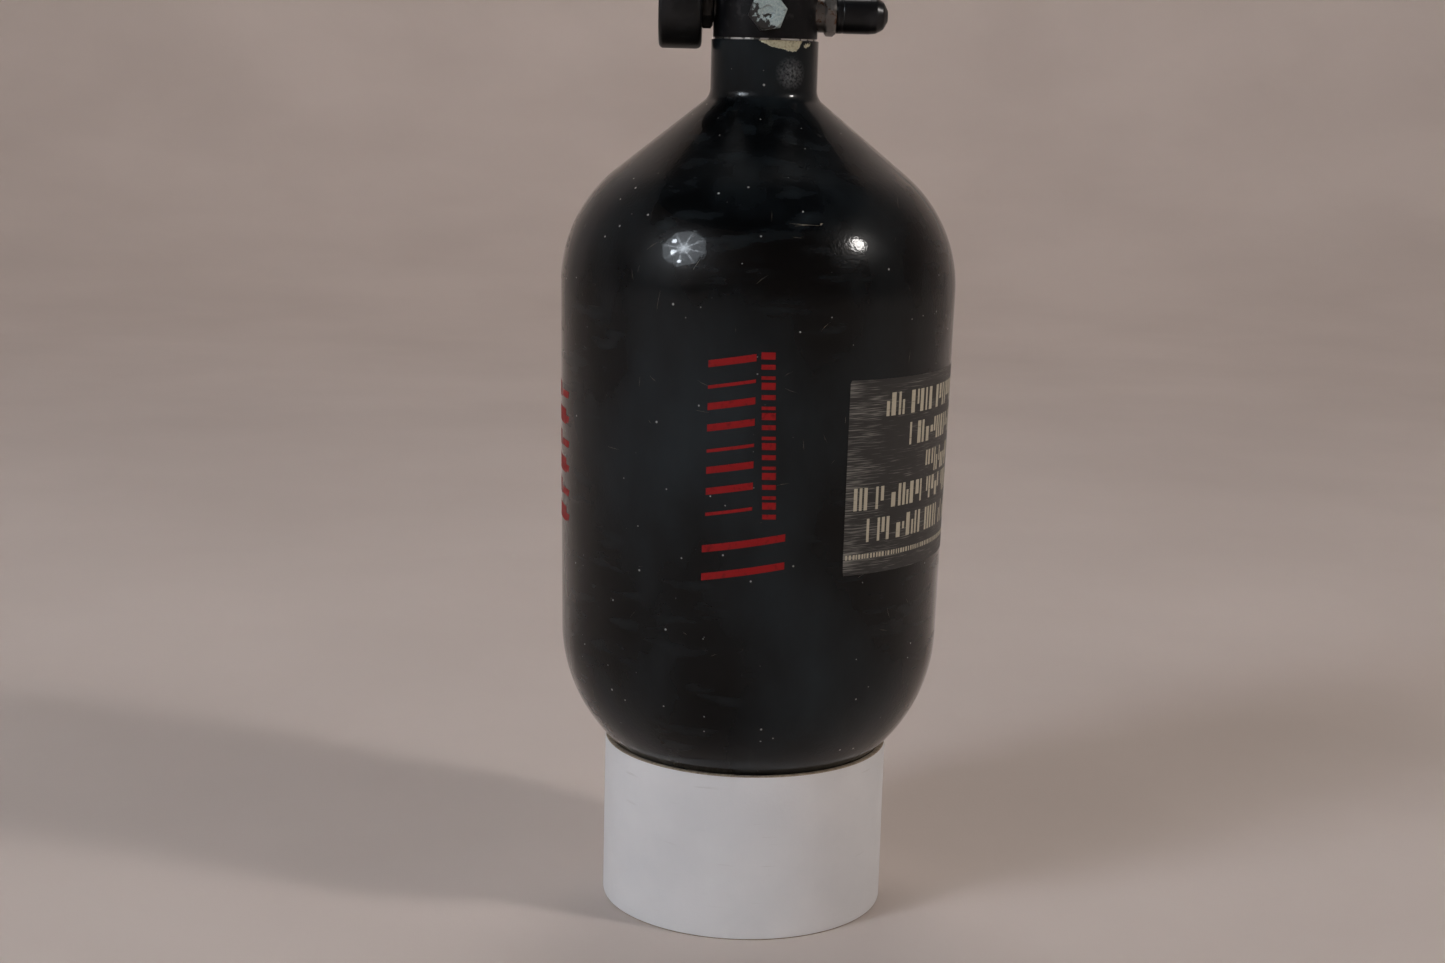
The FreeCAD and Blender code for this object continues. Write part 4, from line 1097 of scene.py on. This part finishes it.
# %% Gauge case and boot
boot_near, boot_far, boot_radius, DIAL_HEIGHT = reach("gauge_boot", LEFT)
case_near, case_far, case_radius, _ = reach("gauge_case", LEFT)
gauge_place = sideways(LEFT, DIAL_HEIGHT)
BOOT_ROUND, BOOT_LIP, BOOT_BACK_LIP = 2.4, 9.3, 7.0
boot_outline = rounded([
    (BOOT_BACK_LIP, boot_near, 0.4), (boot_radius, boot_near, BOOT_ROUND * 0.75),
    (boot_radius, boot_far, BOOT_ROUND * 0.62), (BOOT_LIP, boot_far, 0.7),
    (BOOT_LIP, case_far + 0.05, 0.1), (case_radius + 0.05, case_far + 0.05),
    (case_radius + 0.05, case_near), (BOOT_BACK_LIP, case_near, 0.2),
], 8)
boot = lathe("gauge_boot_shell", boot_outline, steps=160, place=gauge_place)
dress(boot, "boot_rubber", "tank", "gauge_boot")

case_black = Finish("case_black", metallic=0.2)
fleck = case_black.noise(1100, 4.0)
case_black.paint(
    base_color=case_black.mix(case_black.span(fleck, 0.5, 0.7), (0.014, 0.014, 0.014), (0.03, 0.03, 0.03)),
    roughness=case_black.span(fleck, 0.3, 0.7, 0.28, 0.42),
)
case_black.bump(fleck, 0.01)
CASE_INNER, CASE_FLOOR_WALL, STEM_HOLE = 9.95, 0.8, 0.8
case_outline = rounded([
    (STEM_HOLE, case_near), (case_radius, case_near, 0.8), (case_radius, case_far, 0.3),
    (CASE_INNER, case_far, 0.2), (CASE_INNER, case_near + CASE_FLOOR_WALL),
    (STEM_HOLE, case_near + CASE_FLOOR_WALL),
], 5)
dress(lathe("gauge_can", case_outline, place=gauge_place), "case_black", "tank", "gauge_case")

# %% Gauge stem
stem_near, stem_far, _, _ = reach("gauge_stem", LEFT)
STEM_HEX_LOW, STEM_HEX_HIGH, STEM_FLATS, STEM_TWIST, STEM_NECK = 14.95, 18.3, 11.0, 34, 4.0
stem_outline = rounded([
    (STEM_HOLE, stem_near), (SIDE_THREAD, stem_near, 0.2), (SIDE_THREAD, STEM_HEX_LOW - 0.4),
    (4.4, STEM_HEX_LOW - 0.05), *nut(STEM_FLATS, STEM_HEX_LOW, STEM_HEX_HIGH),
    (STEM_NECK, STEM_HEX_HIGH, 0.2), (STEM_NECK, stem_far), (STEM_HOLE, stem_far),
], 4)
stem = lathe("gauge_stem_nut", stem_outline, place=gauge_place,
             shape=hexed(STEM_FLATS, STEM_TWIST, STEM_HEX_LOW, STEM_HEX_HIGH))
dress(stem, "gauge_brass", "tank", "gauge_stem")

# %% Dial, figures and pointer finishes
def plain(name, colour, dull, grain, depth, **sockets):
    """Painted or moulded: one colour with a faint grain in its tone, gloss and surface."""
    finish = Finish(name, **sockets)
    cloud = finish.noise(grain, 4.0)
    finish.paint(
        base_color=finish.mix(finish.span(cloud, 0.35, 0.7), colour, tuple(part * 0.86 for part in colour)),
        roughness=finish.span(cloud, 0.3, 0.7, dull - 0.05, dull + 0.08),
    )
    finish.bump(cloud, depth)
    return finish


plain("dial_white", (0.72, 0.72, 0.68), 0.45, 800, 0.004)
plain("dial_ink", (0.015, 0.015, 0.016), 0.4, 900, 0.003)
plain("needle_red", (0.42, 0.016, 0.012), 0.32, 900, 0.004)
plain("seat_polymer", (0.62, 0.60, 0.52), 0.42, 700, 0.006)
lens_finish = Finish("lens_clear", base_color=(0.96, 0.97, 0.97), transmission_weight=1.0, IOR=1.49)
smear = lens_finish.span(lens_finish.noise(240, 4.0), 0.4, 0.75, 0.02, 0.10)
lens_finish.paint(roughness=smear)

# %% Dial and its marks
dial_near, dial_far, dial_radius, _ = reach("gauge_dial", LEFT)
DIAL_START, DIAL_SWEEP, DIAL_STEPS, DIAL_HOLE = -135, 270, 30, 0.8
dial_outline = rounded([(DIAL_HOLE, dial_near), (dial_radius, dial_near), (dial_radius, dial_far, 0.1),
                        (DIAL_HOLE, dial_far)])
dress(lathe("gauge_dial_plate", dial_outline, place=gauge_place), "dial_white", "tank", "gauge_dial")


def dial_point(turn, radius):
    """A point on the dial: turn is in degrees clockwise from straight up, seen from outside."""
    angle = math.radians(turn)
    return Vector((math.sin(angle) * radius, math.cos(angle) * radius, 0))


def slab(maker, corners, low, high):
    """A thin flat block between two heights."""
    lower = [maker.verts.new((x, y, low)) for x, y, _ in corners]
    upper = [maker.verts.new((x, y, high)) for x, y, _ in corners]
    maker.faces.new(reversed(lower))
    maker.faces.new(upper)
    for index in range(len(corners)):
        after = (index + 1) % len(corners)
        maker.faces.new((lower[index], lower[after], upper[after], upper[index]))


MARK_WALL = 0.03
FIGURE_COUNT, FIGURE_HEIGHT = 7, 2.1
marks = bmesh.new()
for step in range(DIAL_STEPS + 1):
    turn = DIAL_START + DIAL_SWEEP * step / DIAL_STEPS
    major = step % 5 == 0
    side = dial_point(turn + 90, 0.16 if major else 0.08)
    outer_end = dial_point(turn, dial_radius - 0.9)
    inner_end = dial_point(turn, dial_radius - (2.3 if major else 1.6))
    corners = [outer_end - side, outer_end + side, inner_end + side, inner_end - side]
    slab(marks, corners, dial_far, dial_far + MARK_WALL)
for figure in range(FIGURE_COUNT):
    text = bpy.data.curves.new("dial_figure", "FONT")
    text.body = str(figure)
    text.size = FIGURE_HEIGHT
    text.extrude = MARK_WALL / 2
    text.align_x, text.align_y = "CENTER", "CENTER"
    holder = bpy.data.objects.new("dial_figure", text)
    bpy.context.scene.collection.objects.link(holder)
    shape = bpy.data.meshes.new_from_object(holder)
    spot = dial_point(DIAL_START + DIAL_SWEEP * figure / (FIGURE_COUNT - 1), dial_radius - 3.6)
    shape.transform(Matrix.Translation(spot + Vector((0, 0, dial_far + MARK_WALL / 2))))
    marks.from_mesh(shape)
    bpy.data.objects.remove(holder)
dial_marks = finished("dial_marks", marks, gauge_place @ Matrix.Scale(MM, 4))
dress(dial_marks, "dial_white", "tank")
dial_marks.data.materials[0] = FINISHES["dial_ink"]

# %% Pointer and lens
HUB_RADIUS, HUB_LOW, HUB_HIGH, SHAFT_RADIUS, SHAFT_LOW = 1.2, 26.75, 27.7, 0.5, 25.4
POINTER_LENGTH, POINTER_TAIL, POINTER_REST, POINTER_LOW, POINTER_WALL = 7.2, 2.4, -135, 27.0, 0.3
pointer = bmesh.new()
tip, tail = dial_point(POINTER_REST, POINTER_LENGTH), dial_point(POINTER_REST + 180, POINTER_TAIL)
wide, narrow = dial_point(POINTER_REST + 90, 0.7), dial_point(POINTER_REST + 90, 0.12)
slab(pointer, [tail - wide, tail + wide, tip + narrow, tip - narrow], POINTER_LOW, POINTER_LOW + POINTER_WALL)
hub_outline = rounded([
    (0, SHAFT_LOW), (SHAFT_RADIUS, SHAFT_LOW), (SHAFT_RADIUS, HUB_LOW), (HUB_RADIUS, HUB_LOW, 0.1),
    (HUB_RADIUS, HUB_HIGH, 0.25), (0, HUB_HIGH),
])
hub = lathe("pointer_hub", hub_outline, steps=64)
hub.data.transform(Matrix.Scale(1 / MM, 4))
pointer.from_mesh(hub.data)
bpy.data.objects.remove(hub)
needle = finished("pressure_pointer", pointer, gauge_place @ Matrix.Scale(MM, 4))
dress(needle, "needle_red", "needle", "gauge_needle")

lens_near, lens_far, lens_radius, _ = reach("gauge_lens", LEFT)
DOME, DOME_ROWS = 0.35, 12
bends = [step / DOME_ROWS * math.pi / 2 for step in range(DOME_ROWS + 1)]
dome = [(lens_radius * math.sin(bend), lens_far - DOME * (1 - math.cos(bend))) for bend in bends]
lens_outline = [*dome, (lens_radius, lens_near), (0, lens_near)]
dress(lathe("gauge_window", lens_outline, place=gauge_place), "lens_clear", "tank", "gauge_lens")

# %% [markdown]
# ## What is inside
#
# The rest of the CAD nodes are already the right shape: the liner, the wound carbon, the piston,
# springs, seats and small rings. They keep their meshes and only get finishes. The carbon gets a
# wound pattern of crossing bands, even though the lacquer hides it, so that the part still makes
# sense when someone takes it apart.

# %% Carbon finish
carbon = Finish("carbon", specular_ior_level=0.6)
BAND_TURNS = 1600
wound = carbon.split(carbon.wrapped(0.055, 1.0, 1.0))
band = carbon.math("SINE", carbon.times(carbon.plus(wound[0], wound[1]), BAND_TURNS))
cross = carbon.math("SINE", carbon.times(carbon.math("SUBTRACT", wound[0], wound[1]), BAND_TURNS))
weave = carbon.times(band, cross)
carbon.paint(
    base_color=carbon.mix(carbon.span(weave, -0.2, 0.2), (0.012, 0.012, 0.013), (0.045, 0.046, 0.05)),
    roughness=carbon.span(weave, -0.4, 0.4, 0.22, 0.42),
)
carbon.bump(weave, 0.05)

# %% Finishes for the CAD nodes that stay
slots = {entry["node"]: entry["material_slot"] for entry in frame["record"]["subparts"]}
for name, node in sorted(frame["nodes"].items()):
    if not node.hide_render:
        for holder in node.material_slots:
            holder.material = FINISHES[slots[name]]
        print(f"{name}: {slots[name]}")

# %% [markdown]
# The three springs are held by the regulator at one end and pushed by a moving part at the other.
# Riding on either body would drive them through something. Here each one is only given its own copy of its
# mesh.

# %% Springs with meshes of their own
for name, joint, axis in (("spring_washers", "piston_travel", 2), ("pin_spring", "pin_press", 2),
                          ("check_spring", "check_open", 0)):
    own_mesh(frame["nodes"][name])
